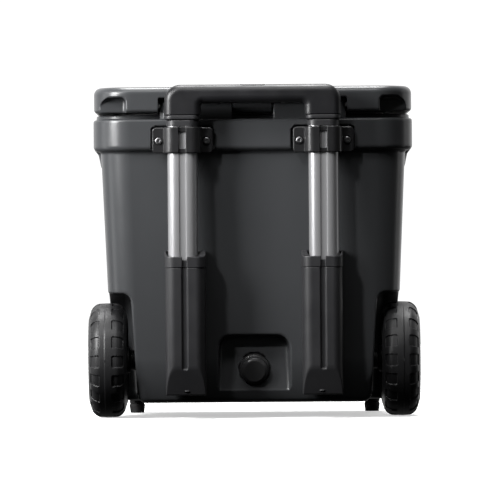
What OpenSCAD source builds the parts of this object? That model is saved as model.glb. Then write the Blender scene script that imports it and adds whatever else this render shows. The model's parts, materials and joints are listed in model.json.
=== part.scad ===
// Wheeled hard cooler with a two-stage telescoping pull handle.
// Origin: centre of the footprint, on the ground. +Z is up, handle and wheels are on the -Y side.

/* [Body] */
// Width across the rim
rim_w = 476; // [470:1:482]
// Depth of the rim from its back face to its front face
rim_d = 392; // [388:1:396]
// Height of the back face of the rim
rim_h = 47; // [42:1:50]
// Height of the underside of the rim above the ground
rim_z = 400; // [397:1:402]
// Corner radius of the rim in plan
rim_r = 57; // [50:1:62]
// Step from the rim in to the body wall
rim_step = 11; // [9:1:13]
// Height of the body's bottom above the ground
bottom_z = 22; // [18:1:26]
// How much each wall leans in from the rim to the bottom
draft = 16; // [12:1:20]
// Thickness of the moulded skin
skin = 5; // [4:0.5:6]
// Height of the lip that the lid seals on
lip_h = 5; // [4:0.5:6]

/* [Tub] */
// Half width of the tub above the wheel arches
tub_half_w = 186; // [180:1:188]
// Half depth of the tub
tub_half_d = 144; // [140:1:148]
// Half width of the tub between the wheel arches
tub_low_half_w = 138; // [130:1:140]
// Height of the tub floor above the ground
tub_floor_z = 62; // [60:1:62]
// Height of the shelf over the wheel arches
tub_step_z = 226; // [224:1:230]

/* [Lid] */
// Height of the lid's top above the ground
lid_top_z = 495; // [492:1:496]
// Gap between the rim's top and the lid's underside
lid_gap = 8.5; // [8:0.5:9]
// How far the lid's plug reaches down into the tub
plug_depth = 24; // [20:1:26]
// Diameter of the hinge rods
hinge_rod_d = 8; // [7:0.5:9]
// Height of the hinge axis above the ground
hinge_z = 468; // [467:1:469]

/* [Latches] */
// Width of one latch
latch_w = 60; // [50:1:70]
// Length of one latch below its pivot
latch_len = 62; // [50:1:66]
// Distance from the middle of the lid to the middle of a latch
latch_x = 120; // [110:1:130]

/* [Handle] */
// Distance from the middle to each handle tube
tube_x = 105; // [104:0.5:106]
// Width of the fixed rail tubes
rail_w = 45; // [44:0.5:46]
// Depth of the fixed rail tubes
rail_d = 26; // [25:0.5:27]
// Wall of the handle tubes
tube_wall = 2; // [1.8:0.1:2.2]
// Outer width of the grip
grip_w = 258; // [254:1:262]
// Depth of the grip
grip_d = 28; // [26:1:28]
// Height of the grip's top above the ground
grip_top_z = 497; // [495:1:498]
// Height of the grip bar
grip_bar_h = 27; // [25:1:28]
// Width of each grip leg
grip_leg_w = 52; // [50:1:54]
// Width of the release button
button_w = 38; // [34:1:42]
// Travel of the release button
button_travel = 3; // [2:0.5:4]

/* [Wheels] */
// Diameter of the tyres
tyre_d = 172; // [170:1:174]
// Width of the tyres
tyre_w = 59; // [56:1:60]
// Outside distance between the tyres' outer faces
track_w = 498; // [496:1:500]
// Diameter of the stub axles
axle_d = 16; // [14:1:18]
// Radius of the wheel arches
arch_r = 101; // [99:1:103]
// Distance from the middle to the inner wall of an arch
arch_x = 178; // [177:1:179]

/* [Drain] */
// Width of the drain recess
drain_w = 106; // [100:1:110]
// Height of the drain recess
drain_h = 82; // [78:1:84]
// Slope of the drain, so that it empties
drain_tilt = 10; // [8:1:12]

/* [Hidden] */
$fn = 48;
HULL_FN = 32;
// Gap between fixed pieces
fit_gap = 0.05;
// Radial clearance of a pin that turns in its hole
pin_gap = 0.08;
// Gap between pieces that move past each other
run_gap = 0.3;
// Overshoot of a cutting solid
over = 20;

body_y = 12;
rim_back_y = body_y - rim_d / 2;
rim_front_y = body_y + rim_d / 2;
rim_top_z = rim_z + rim_h;
body_w = rim_w - 2 * rim_step;
body_d = rim_d - 2 * rim_step;
bevel_z = 54;
bevel_in = 14;
tub_r = 40;
tub_low_y0 = -112;
tub_front_y0 = 46;
tub_front_half_w = tub_half_w - 8;

hinge_y = rim_back_y + 19;
hinge_r = 10;
block_x0 = 31;
block_x1 = 139;
block_gap = 2;
knuckle_end_x = 165;
lid_z = rim_top_z + lid_gap;
lid_back_y = rim_back_y + 1;
lid_chamfer = 4.5;
pocket_x0 = 190;
pocket_x1 = 232;
pocket_top_z = 480;
pocket_depth = 26;

latch_y = rim_front_y + 5;
latch_z = 478;
latch_r = 8;
latch_t = 8;
latch_pin_r = 3;
lug_t = 8;
latch_clear = 0.5;

tube_y = -208;
tube_step = 5;
mid_w = rail_w - tube_step;
mid_d = rail_d - tube_step;
inner_w = mid_w - tube_step;
inner_d = mid_d - tube_step;
rail_z0 = 80;
rail_z1 = rim_top_z - 6;
mid_z0 = 94;
mid_z1 = rim_top_z - 1;
inner_z0 = mid_z0 + 26;
inner_z1 = 478;
glide_h = 10;
glide_over = 0.4;
neck_z0 = 437;
neck_z1 = 444;
mid_bush_z0 = neck_z1 + run_gap;
mid_bush_z1 = 451.8;
bush_rim = 1.5;
grip_z0 = mid_bush_z1 + run_gap;
grip_outer_r = 21;
grip_inner_r = 5;
button_d = 16;
button_h = 9;
button_proud = 2;

collar_z0 = 396;
collar_z1 = 434;
collar_w = 90;
collar_barrel_w = 56;
collar_ear_t = 12;
collar_out_y = -225;
screw_x = 36;
screw_z = 414;
screw_head_r = 5;
screw_r = 2.5;
window_w = 12.5;
window_h = 26;

socket_x = 102;
socket_w = 60;
socket_out_y = -224;
socket_z0 = 35;
socket_ring_z = 225;
socket_z1 = 250;
socket_r = 14;
groove_r = 2;

axle_y = -94;
axle_z = tyre_d / 2;
axle_x0 = 146;
axle_x1 = 243;
axle_boss_r = 20;
tyre_x1 = track_w / 2;
tyre_x0 = tyre_x1 - tyre_w;
hub_r = 62;
hub_x0 = tyre_x0 - 3;
hub_x1 = 242;
hub_boss_r = 20;
hub_web_t = 8;
spoke_holes = 6;
spoke_hole_r = 12;
cap_r = 15;
cap_t = 5;
spacer_r = 15;

drain_floor_y = -135;
drain_r = 18;
drain_top_z = 123;
drain_mid_z = 73.5;
drain_bore_r = 11;
drain_tube_r = 15;
drain_flange_r = 25;
drain_face = 8;
drain_seat = 5;
drain_tube_in = 25;
seal_t = 2;
plug_stem = 16;
plug_flange_r = 23.7;
plug_cap_r = 15.8;

foot_x = 182;
foot_y = 130;
foot_r = 12;
foot_hole_r = 7;

// Box with rounded vertical edges, standing on z = 0
module rounded_box(w, d, h, r) {
    translate([-w / 2 + r, -d / 2, 0]) cube([w - 2 * r, d, h]);
    translate([-w / 2, -d / 2 + r, 0]) cube([w, d - 2 * r, h]);
    for (x = [-1, 1], y = [-1, 1])
        translate([x * (w / 2 - r), y * (d / 2 - r), 0]) cylinder(r = r, h = h);
}

// Four thin discs that a hull joins into one rounded level
module level(w, d, z, r) {
    for (x = [-1, 1], y = [-1, 1])
        translate([x * (w / 2 - r), y * (d / 2 - r), z]) cylinder(r = r, h = 0.5, $fn = HULL_FN);
}

// Bar with half-round ends, standing on z = 0
module oval(w, d, h) {
    translate([-(w - d) / 2, -d / 2, 0]) cube([w - d, d, h]);
    for (x = [-1, 1]) translate([x * (w - d) / 2, 0, 0]) cylinder(d = d, h = h);
}

// Round rod along +X from x0 to x1
module rod_x(x0, x1, r) {
    translate([x0, 0, 0]) rotate([0, 90, 0]) cylinder(r = r, h = x1 - x0);
}

// Box given by its low and high corners
module block(low, high) {
    translate(low) cube(high - low);
}

// ---- body ----

module outer_form(inset) {
    base_w = body_w - 2 * draft;
    base_d = body_d - 2 * draft;
    lean = draft * (bevel_z - bottom_z) / (rim_z - bottom_z);
    translate([0, body_y, 0]) hull() {
        level(body_w - 2 * inset, body_d - 2 * inset, rim_z + skin, rim_r - rim_step - inset);
        level(base_w + 2 * (lean - inset), base_d + 2 * (lean - inset), bevel_z, rim_r - draft - inset);
        level(base_w - 2 * (bevel_in + inset), base_d - 2 * (bevel_in + inset),
            bottom_z + inset, rim_r - bevel_in - draft - inset);
    }
}

module rim_form(inset) {
    translate([0, body_y, rim_z + inset])
        rounded_box(rim_w - 2 * inset, rim_d - 2 * inset, rim_h - 2 * inset, rim_r - inset);
}

module tub(grow) {
    corner = tub_r + grow;
    top_h = rim_top_z + over - tub_step_z;
    low_h = tub_step_z - tub_floor_z + 2 * grow;
    low_y0 = tub_low_y0 - grow;
    low_y1 = body_y + tub_half_d + grow;
    front_y0 = tub_front_y0 - grow;
    translate([0, body_y, tub_step_z - grow])
        rounded_box(2 * (tub_half_w + grow), 2 * (tub_half_d + grow), top_h + grow, corner);
    translate([0, (low_y0 + low_y1) / 2, tub_floor_z - grow])
        rounded_box(2 * (tub_low_half_w + grow), low_y1 - low_y0, low_h, corner);
    translate([0, (front_y0 + low_y1) / 2, tub_floor_z - grow])
        rounded_box(2 * (tub_front_half_w + grow), low_y1 - front_y0, low_h, corner);
}

// Space for one wheel: concentric with the axle in front, open to the back and below
module arch(side, grow) {
    far_y = rim_back_y - over;
    top_z = axle_z + arch_r + grow;
    width = rim_w / 2 + over - arch_x + grow;
    translate([side > 0 ? arch_x - grow : -arch_x + grow - width, 0, 0]) {
        translate([0, axle_y, axle_z]) rod_x(0, width, arch_r + grow);
        translate([0, far_y, -over]) cube([width, axle_y - far_y, top_z + over]);
        translate([0, far_y, -over]) cube([width, axle_y - far_y + arch_r + grow, axle_z + over]);
    }
}

module drain_recess(grow) {
    w = drain_w + 2 * grow;
    h = drain_h + 2 * grow;
    in_w = w - 2 * drain_r;
    in_h = h - 2 * drain_r;
    translate([0, drain_floor_y + grow, drain_top_z - drain_h / 2])
        rotate([90, 0, 0]) linear_extrude(90) {
            square([in_w, h], center = true);
            square([w, in_h], center = true);
            for (x = [-1, 1], y = [-1, 1]) translate([x * in_w / 2, y * in_h / 2]) circle(r = drain_r);
        }
}

// Drain axis: +Z of the children leaves the body, sloping down
module on_drain_axis() {
    translate([0, drain_floor_y, drain_mid_z]) rotate([90 + drain_tilt, 0, 0]) children();
}

module foam_space(gap) {
    inset = skin + gap;
    difference() {
        union() {
            outer_form(inset);
            rim_form(inset);
        }
        tub(inset);
        for (side = [-1, 1]) arch(side, inset);
        drain_recess(inset);
        on_drain_axis() translate([0, 0, -40]) cylinder(r = drain_tube_r + inset, h = 60);
        on_drain_axis() translate([0, 0, -drain_seat - inset]) cylinder(r = drain_flange_r + inset, h = 40);
        for (side = [-1, 1]) translate([0, axle_y, axle_z]) mirror([side < 0 ? 1 : 0, 0, 0])
            rod_x(axle_x0 - inset, arch_x, axle_boss_r + gap);
    }
}

// Thin planes that part the foam where the tub, its corners and the drain recess begin
module foam_slits() {
    w = rim_w;
    floor_z = tub_floor_z - skin;
    shelf_z = tub_step_z - skin;
    recess_y = drain_floor_y + skin;
    front_y = body_y + tub_half_d - tub_r;
    rear_y = body_y - tub_half_d + tub_r;
    low_rear_y = tub_low_y0 + tub_r;
    for (z = [floor_z, shelf_z]) block([-w, -w, z], [w, w, z + run_gap]);
    for (y = [recess_y - run_gap, front_y]) block([-w, y, 0], [w, y + run_gap, rim_top_z]);
    for (y = [low_rear_y, tub_front_y0 - skin]) block([-w, y, floor_z], [w, y + run_gap, shelf_z]);
    block([-w, axle_y + arch_r + skin, 0], [w, axle_y + arch_r + skin + run_gap, floor_z]);
    block([-w, rear_y, shelf_z], [w, rear_y + run_gap, rim_top_z]);
    for (side = [-1, 1]) mirror([side < 0 ? 1 : 0, 0, 0]) {
        slit_x(tub_half_w - tub_r, -w, w, shelf_z, rim_top_z);
        slit_x(tub_front_half_w - tub_r, front_y, w, floor_z, shelf_z);
        slit_x(tub_low_half_w - tub_r, recess_y, low_rear_y, floor_z, shelf_z);
        slit_x(drain_w / 2 + skin, -w, recess_y, 0, shelf_z);
    }
}

module slit_x(x, y0, y1, z0, z1) {
    block([x, y0, z0], [x + run_gap, y1, z1]);
}

module hinge_block(side) {
    base = rim_top_z + fit_gap - hinge_z;
    color("#33373c") translate([0, hinge_y, hinge_z]) mirror([side < 0 ? 1 : 0, 0, 0]) difference() {
        union() {
            rod_x(block_x0, block_x1, hinge_r);
            block([block_x0, -hinge_r, base], [block_x1, hinge_r, 0]);
        }
        rod_x(0, rim_w, hinge_rod_d / 2 + fit_gap);
    }
}
module hinge_block_left() { hinge_block(-1); }
module hinge_block_right() { hinge_block(1); }

module body_shell() {
    color("#3b4046") difference() {
        union() {
            difference() {
                union() {
                    outer_form(0);
                    rim_form(0);
                }
                foam_space(0);
            }
            translate([0, body_y, rim_top_z - 1])
                rounded_box(2 * (tub_half_w + 14), 2 * (tub_half_d + 14), lip_h + 1, 54);
        }
        tub(0);
        for (side = [-1, 1]) arch(side, 0);
        drain_recess(0);
        on_drain_axis() translate([0, 0, -drain_tube_in]) cylinder(r = drain_tube_r + fit_gap, h = 40);
        on_drain_axis() translate([0, 0, -drain_seat]) cylinder(r = drain_flange_r + fit_gap, h = 40);
        translate([0, axle_y, axle_z])
            for (side = [-1, 1]) mirror([side < 0 ? 1 : 0, 0, 0])
                rod_x(axle_x0 - fit_gap, arch_x + over, axle_d / 2 + fit_gap);
        at_collar_screws() rotate([-90, 0, 0]) cylinder(r = screw_r + fit_gap, h = 24);
        at_feet() translate([0, 0, -over]) cylinder(r = screw_r + fit_gap, h = over + bottom_z + 4);
    }
}

module body_foam() {
    color("#e6dcc0") difference() {
        foam_space(run_gap);
        foam_slits();
    }
}

// ---- lid ----

module lid_outer() {
    depth = rim_front_y - 1 - lid_back_y;
    mid_y = (rim_front_y - 1 + lid_back_y) / 2;
    width = rim_w - 2;
    top_in = 9;
    translate([0, mid_y, 0]) hull() {
        level(width - 2 * lid_chamfer, depth - 2 * lid_chamfer, lid_z, rim_r - lid_chamfer);
        level(width, depth, lid_z + lid_chamfer, rim_r);
        level(width, depth, lid_top_z - top_in, rim_r);
        level(width - 2 * top_in, depth - 2 * top_in, lid_top_z - 0.5, rim_r - top_in);
    }
}

module lid_plug(inset) {
    clear = 6 + inset;
    translate([0, body_y, lid_z - plug_depth + inset])
        rounded_box(2 * (tub_half_w - clear), 2 * (tub_half_d - clear), plug_depth + skin, 34 - inset);
}

module lid_space(gap) {
    inset = skin + gap;
    y0 = hinge_y + 30 + inset;
    y1 = rim_front_y - 12 - inset;
    translate([0, (y0 + y1) / 2, lid_z + inset])
        rounded_box(rim_w - 16 - 2 * inset, y1 - y0, lid_top_z - lid_z - 2 * inset, 44);
    lid_plug(inset);
}

module lid_shell() {
    low_z = lid_z - 1;
    high_z = lid_top_z + over;
    far_y = rim_back_y - over;
    front_y = hinge_y + hinge_r + 4;
    color("#3b4046") difference() {
        union() {
            difference() {
                union() {
                    lid_outer();
                    lid_plug(0);
                }
                lid_space(0);
                for (side = [-1, 1]) mirror([side < 0 ? 1 : 0, 0, 0])
                    block([block_x0 - block_gap, far_y, low_z], [block_x1 + block_gap, front_y, high_z]);
                block([-block_x0, far_y, low_z], [block_x0, hinge_y, high_z]);
                for (side = [-1, 1]) mirror([side < 0 ? 1 : 0, 0, 0])
                    block([pocket_x0, far_y, low_z], [pocket_x1, lid_back_y + pocket_depth, pocket_top_z]);
            }
            translate([0, hinge_y, hinge_z]) rod_x(block_gap - block_x0, block_x0 - block_gap, hinge_r + 0.5);
            for (side = [-1, 1]) latch_lugs(side);
        }
        translate([0, hinge_y, hinge_z])
            rod_x(-knuckle_end_x, knuckle_end_x, hinge_rod_d / 2 + pin_gap);
        for (side = [-1, 1]) at_latch(side)
            rod_x(-latch_w, latch_w, latch_pin_r + fit_gap);
        for (side = [-1, 1]) at_latch(side)
            rod_x(-latch_w / 2 - latch_clear, latch_w / 2 + latch_clear, latch_r + 1);
    }
}

module lid_foam() {
    color("#e6dcc0") lid_space(run_gap);
}

module lid_gasket() {
    z0 = rim_top_z + lip_h + run_gap;
    h = lid_z - fit_gap - z0;
    color("#8d9298") translate([0, body_y, z0]) difference() {
        rounded_box(2 * (tub_half_w + 11), 2 * (tub_half_d + 11), h, 48);
        translate([0, 0, -1]) rounded_box(2 * (tub_half_w + 2), 2 * (tub_half_d + 2), h + 2, 42);
    }
}

module hinge_rods() {
    color("#b9bdc2") translate([0, hinge_y, hinge_z])
        for (side = [-1, 1]) mirror([side < 0 ? 1 : 0, 0, 0])
            rod_x(block_gap, knuckle_end_x - 1, hinge_rod_d / 2);
}

// ---- latches ----

module at_latch(side) {
    translate([side * latch_x, latch_y, latch_z]) children();
}

module latch_lugs(side) {
    x0 = latch_w / 2 + latch_clear;
    at_latch(side) for (m = [0, 1]) mirror([m, 0, 0]) {
        rod_x(x0, x0 + lug_t, latch_r);
        block([x0, -over, -latch_r], [x0 + lug_t, 0, latch_r]);
    }
}

module latch(side) {
    plate_y = 5;
    color("#2a2c2f") at_latch(side) difference() {
        union() {
            rod_x(-latch_w / 2, latch_w / 2, latch_r);
            block([-latch_w / 2, plate_y - latch_t + 2, -latch_len], [latch_w / 2, plate_y + 3, 0]);
            block([-latch_w / 2 + 6, plate_y, -latch_len - 6],
                [latch_w / 2 - 6, plate_y + latch_t - 1, -latch_len + 14]);
        }
        rod_x(-latch_w, latch_w, latch_pin_r + pin_gap);
    }
}

module latch_left() { latch(-1); }
module latch_right() { latch(1); }

module latch_pins() {
    reach = latch_w / 2 + latch_clear + lug_t;
    color("#b9bdc2") for (side = [-1, 1]) at_latch(side) rod_x(-reach, reach, latch_pin_r);
}

// ---- handle ----

module at_tube(side) {
    translate([side * tube_x, tube_y, 0]) children();
}

// Oval tube from z0 to z1 with the given outside size
module oval_tube(w, d, z0, z1) {
    translate([0, 0, z0]) difference() {
        oval(w, d, z1 - z0);
        translate([0, 0, -1]) oval(w - 2 * tube_wall, d - 2 * tube_wall, z1 - z0 + 2);
    }
}

module rail(side) {
    color("#b4b7ba") at_tube(side) difference() {
        oval_tube(rail_w, rail_d, rail_z0, rail_z1);
        translate([-1, -rail_d / 2 - 1.2, rail_z0 - 1]) cylinder(r = 2.2, h = rail_z1 - rail_z0 + 2);
    }
}
module rail_left() { rail(-1); }
module rail_right() { rail(1); }

// Cap ring over a tube's top that guides the next tube
module bush(w, d, tube_top, z0, z1) {
    seat = 2 * fit_gap;
    bore = 2 * run_gap - tube_step;
    difference() {
        translate([0, 0, z0]) oval(w + 2 * bush_rim, d + 2 * bush_rim, z1 - z0);
        translate([0, 0, z0 - 1]) oval(w + seat, d + seat, tube_top - z0 + 1 + fit_gap);
        translate([0, 0, z0]) oval(w + bore, d + bore, z1 - z0 + 1);
    }
}

module neck(side) {
    color("#191a1c") at_tube(side) bush(rail_w, rail_d, rail_z1, neck_z0, neck_z1);
}
module neck_left() { neck(-1); }
module neck_right() { neck(1); }

module mid_tube(side) {
    color("#c0c3c6") at_tube(side) oval_tube(mid_w, mid_d, mid_z0, mid_z1);
}
module mid_tube_left() { mid_tube(-1); }
module mid_tube_right() { mid_tube(1); }

module mid_bush(side) {
    color("#191a1c") at_tube(side) bush(mid_w, mid_d, mid_z1, mid_bush_z0, mid_bush_z1);
}
module mid_bush_left() { mid_bush(-1); }
module mid_bush_right() { mid_bush(1); }

// Plug in the lower end of a tube w by d, a little wider than it, that slides in the tube around it
module glide(w, d, z1) {
    neck_in = 2 * (tube_wall + fit_gap);
    translate([0, 0, z1 - glide_h]) oval(w + glide_over, d + glide_over, glide_h - fit_gap);
    translate([0, 0, z1 - 1]) oval(w - neck_in, d - neck_in, glide_h);
}

module mid_glide(side) {
    color("#26282a") at_tube(side) difference() {
        glide(mid_w, mid_d, mid_z0);
        translate([0, 0, mid_z0 - glide_h - 1]) oval(inner_w - 8, inner_d - 6, 3 * glide_h);
    }
}
module mid_glide_left() { mid_glide(-1); }
module mid_glide_right() { mid_glide(1); }

module inner_tube(side) {
    color("#c8cbce") at_tube(side) oval_tube(inner_w, inner_d, inner_z0, inner_z1);
}
module inner_tube_left() { inner_tube(-1); }
module inner_tube_right() { inner_tube(1); }

module inner_glide(side) {
    color("#26282a") at_tube(side) glide(inner_w, inner_d, inner_z0);
}
module inner_glide_left() { inner_glide(-1); }
module inner_glide_right() { inner_glide(1); }

// Front outline of the grip: bar with two legs
module grip_outline() {
    half = grip_w / 2;
    h = grip_top_z - grip_z0;
    leg_h = h - grip_bar_h;
    difference() {
        union() {
            square([half - grip_outer_r, h]);
            square([half, h - grip_outer_r]);
            translate([half - grip_outer_r, h - grip_outer_r]) circle(r = grip_outer_r);
        }
        square([half - grip_leg_w - grip_inner_r, leg_h]);
        square([half - grip_leg_w, leg_h - grip_inner_r]);
        translate([half - grip_leg_w - grip_inner_r, leg_h - grip_inner_r]) circle(r = grip_inner_r);
    }
}

module grip() {
    pocket_z = grip_top_z - button_h + button_proud - button_travel - 1;
    color("#1d1e20") difference() {
        translate([0, tube_y + grip_d / 2, grip_z0]) rotate([90, 0, 0]) linear_extrude(grip_d)
            for (m = [0, 1]) mirror([m, 0]) grip_outline();
        for (side = [-1, 1]) at_tube(side) translate([0, 0, grip_z0 - 1])
            oval(inner_w + 2 * fit_gap, inner_d + 2 * fit_gap, inner_z1 - grip_z0 + 1 + fit_gap);
        translate([0, tube_y, pocket_z])
            rounded_box(button_w + 2 * run_gap, button_d + 2 * run_gap, 40, 5 + run_gap);
        at_grip_screws() cylinder(r = 4 + fit_gap, h = 4);
    }
}

module at_grip_screws() {
    for (x = [-45, 45]) translate([x, tube_y, grip_top_z - grip_bar_h - 1]) children();
}

module grip_screws() {
    color("#3c3e41") at_grip_screws() difference() {
        cylinder(r = 4, h = 4);
        translate([0, 0, -1]) cylinder(r = 1.6, h = 3);
    }
}

module release_button() {
    color("#141516") translate([0, tube_y, grip_top_z + button_proud - button_h])
        difference() {
            rounded_box(button_w, button_d, button_h, 5);
            translate([0, 0, -1]) cylinder(r = 5, h = 6);
        }
}

module button_spring() {
    base_z = grip_top_z - button_h + button_proud - button_travel - 1;
    color("#b9bdc2") translate([0, tube_y, base_z]) difference() {
        translate([0, 0, fit_gap]) cylinder(r = 4, h = button_travel + 5);
        translate([0, 0, -1]) cylinder(r = 3, h = 20);
    }
}

// ---- handle fixings ----

module at_collar_screws() {
    for (side = [-1, 1], x = [-screw_x, screw_x])
        translate([side * tube_x + x, rim_back_y - collar_ear_t, screw_z]) children();
}

module collar(side) {
    h = collar_z1 - collar_z0;
    color("#1a1b1d") difference() {
        union() {
            translate([side * tube_x - collar_w / 2, rim_back_y - collar_ear_t, collar_z0])
                cube([collar_w, collar_ear_t - fit_gap, h]);
            translate([side * tube_x, (collar_out_y + rim_back_y - 1) / 2, collar_z0])
                rounded_box(collar_barrel_w, rim_back_y - 1 - collar_out_y, h, 13);
        }
        at_tube(side) translate([0, 0, collar_z0 - 1])
            oval(rail_w + 2 * fit_gap, rail_d + 2 * fit_gap, h + 2);
        translate([side * tube_x - window_w / 2, collar_out_y - 1, (collar_z0 + collar_z1 - window_h) / 2])
            cube([window_w, 14, window_h]);
        at_collar_screws() rotate([-90, 0, 0]) cylinder(r = screw_r + fit_gap, h = 24);
    }
}
module collar_left() { collar(-1); }
module collar_right() { collar(1); }

module collar_screws() {
    color("#55585c") at_collar_screws() rotate([90, 0, 0]) {
        translate([0, 0, fit_gap]) cylinder(r = screw_head_r, h = 3);
        translate([0, 0, -16]) cylinder(r = screw_r, h = 17);
    }
}

// Outside of a socket between two heights
module socket_form(side, z0, z1, grow) {
    y1 = rim_back_y + 30;
    translate([side * socket_x, (socket_out_y + y1) / 2, z0])
        rounded_box(socket_w + 2 * grow, y1 - socket_out_y + 2 * grow, z1 - z0, socket_r);
}

module socket(side) {
    cut_top_z = socket_z0 + 41;
    cut_back_y = socket_out_y + 28;
    color("#17181a") difference() {
        socket_form(side, socket_z0, socket_ring_z, 0);
        outer_form(-fit_gap);
        at_tube(side) translate([0, 0, rail_z0 - fit_gap])
            oval(rail_w + 2 * fit_gap, rail_d + 2 * fit_gap, socket_z1);
        at_tube(side) translate([0, 0, socket_z0 - 1]) oval(8, 5, rail_z0 - socket_z0 + 2);
        translate([side * socket_x, socket_out_y, socket_z0 - 1]) cylinder(r = groove_r, h = socket_z1);
        translate([-rim_w / 2, 0, 0]) rotate([90, 0, 90]) linear_extrude(rim_w) polygon([
            [socket_out_y - 1, cut_top_z + 1.5], [socket_out_y - 1, socket_z0 - 1], [cut_back_y, socket_z0 - 1]
        ]);
    }
}
module socket_left() { socket(-1); }
module socket_right() { socket(1); }

module socket_ring(side) {
    color("#1b1c1e") difference() {
        socket_form(side, socket_ring_z + fit_gap, socket_z1, 0.7);
        outer_form(-fit_gap);
        at_tube(side) translate([0, 0, socket_ring_z - 1])
            oval(rail_w + 2 * fit_gap, rail_d + 2 * fit_gap, socket_z1);
    }
}
module socket_ring_left() { socket_ring(-1); }
module socket_ring_right() { socket_ring(1); }

// ---- wheels ----

module on_axle(side) {
    translate([0, axle_y, axle_z]) mirror([side < 0 ? 1 : 0, 0, 0]) rotate([0, 90, 0]) children();
}

module axle(side) {
    color("#9a9ea3") on_axle(side) translate([0, 0, axle_x0]) cylinder(d = axle_d, h = axle_x1 - axle_x0);
}
module axle_left() { axle(-1); }
module axle_right() { axle(1); }

module spacer(side) {
    color("#1b1c1e") on_axle(side) translate([0, 0, arch_x + fit_gap]) difference() {
        cylinder(r = spacer_r, h = hub_x0 - arch_x - run_gap - fit_gap);
        translate([0, 0, -1]) cylinder(r = axle_d / 2 + fit_gap, h = 20);
    }
}
module spacer_left() { spacer(-1); }
module spacer_right() { spacer(1); }

module tyre(side) {
    r = tyre_d / 2;
    shoulder = 12;
    crown = 2;
    color("#1a1b1c") on_axle(side) rotate_extrude($fn = 96) polygon([
        [hub_r + fit_gap, tyre_x0 + 3], [r - 16, tyre_x0], [r - shoulder, tyre_x0],
        for (a = [0:15:90]) [r - crown - shoulder * (1 - sin(a)), tyre_x0 + shoulder * (1 - cos(a))],
        [r, (tyre_x0 + tyre_x1) / 2],
        for (a = [90:-15:0]) [r - crown - shoulder * (1 - sin(a)), tyre_x1 - shoulder * (1 - cos(a))],
        [r - 16, tyre_x1], [hub_r + fit_gap, tyre_x1 - 3]
    ]);
}
module tyre_left() { tyre(-1); }
module tyre_right() { tyre(1); }

module hub(side) {
    web_x = (tyre_x0 + tyre_x1) / 2 + 8;
    color("#202224") on_axle(side) difference() {
        union() {
            translate([0, 0, tyre_x0 + 3]) difference() {
                cylinder(r = hub_r, h = tyre_w - 6);
                translate([0, 0, -1]) cylinder(r = hub_r - 6, h = tyre_w);
            }
            translate([0, 0, web_x]) cylinder(r = hub_r - 3, h = hub_web_t);
            translate([0, 0, hub_x0]) cylinder(r = hub_boss_r, h = hub_x1 - hub_x0);
        }
        translate([0, 0, hub_x0 - 1]) cylinder(r = axle_d / 2 + pin_gap, h = tyre_w + over);
        for (i = [0:spoke_holes - 1]) rotate(i * 360 / spoke_holes)
            translate([(hub_r + hub_boss_r) / 2 - 2, 0, web_x - 1]) cylinder(r = spoke_hole_r, h = hub_web_t + 2);
    }
}
module hub_left() { hub(-1); }
module hub_right() { hub(1); }

module axle_cap(side) {
    color("#2b2d30") on_axle(side) difference() {
        translate([0, 0, hub_x1 + run_gap]) cylinder(r = cap_r, h = cap_t);
        translate([0, 0, hub_x1]) cylinder(r = axle_d / 2 + fit_gap, h = axle_x1 - hub_x1 + fit_gap);
    }
}
module axle_cap_left() { axle_cap(-1); }
module axle_cap_right() { axle_cap(1); }

// ---- drain ----

module drain_fitting() {
    color("#1b1c1e") on_drain_axis() difference() {
        union() {
            translate([0, 0, fit_gap - drain_seat])
                cylinder(r = drain_flange_r, h = drain_face + drain_seat - fit_gap);
            translate([0, 0, -drain_tube_in]) cylinder(r = drain_tube_r, h = drain_tube_in + drain_face);
        }
        translate([0, 0, -2 * drain_tube_in]) cylinder(r = drain_bore_r, h = 3 * drain_tube_in);
    }
}

module drain_seal() {
    color("#0f1011") on_drain_axis() translate([0, 0, drain_face + fit_gap]) difference() {
        cylinder(r = drain_bore_r + 6, h = seal_t);
        translate([0, 0, -1]) cylinder(r = drain_bore_r, h = seal_t + 2);
    }
}

module drain_plug() {
    head_z = drain_face + seal_t + 2 * fit_gap;
    color("#151617") on_drain_axis() difference() {
        union() {
            translate([0, 0, head_z - plug_stem]) cylinder(r = drain_bore_r - fit_gap, h = plug_stem);
            translate([0, 0, head_z]) cylinder(r = plug_flange_r, h = 4);
            translate([0, 0, head_z]) cylinder(r = plug_cap_r, h = 12);
        }
        translate([0, 0, head_z - plug_stem - 1]) cylinder(r = drain_bore_r - 3, h = plug_stem);
    }
}

// ---- feet ----

module at_feet() {
    for (x = [-foot_x, foot_x]) translate([x, foot_y, 0]) children();
}

module feet() {
    color("#1c1d1e") at_feet() difference() {
        cylinder(r = foot_r, h = bottom_z - fit_gap);
        translate([0, 0, -1]) cylinder(r = foot_hole_r, h = 9);
        cylinder(r = screw_r + fit_gap, h = bottom_z);
    }
}

module foot_screws() {
    color("#8b8f94") at_feet() {
        translate([0, 0, 3]) cylinder(r = 6, h = 5 - fit_gap);
        translate([0, 0, 4]) cylinder(r = screw_r, h = bottom_z);
    }
}

body_shell();
body_foam();
lid_shell();
lid_foam();
lid_gasket();
hinge_block_left();
hinge_block_right();
hinge_rods();
latch_left();
latch_right();
latch_pins();
collar_left();
collar_right();
collar_screws();
socket_left();
socket_right();
socket_ring_left();
socket_ring_right();
rail_left();
rail_right();
neck_left();
neck_right();
mid_tube_left();
mid_tube_right();
mid_bush_left();
mid_bush_right();
mid_glide_left();
mid_glide_right();
inner_tube_left();
inner_tube_right();
inner_glide_left();
inner_glide_right();
grip();
grip_screws();
release_button();
button_spring();
axle_left();
axle_right();
spacer_left();
spacer_right();
tyre_left();
tyre_right();
hub_left();
hub_right();
axle_cap_left();
axle_cap_right();
drain_fitting();
drain_seal();
drain_plug();
feet();
foot_screws();
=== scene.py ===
import itertools
import json
import math

import bpy
import numpy as np
from mathutils import Matrix, Vector


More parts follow.
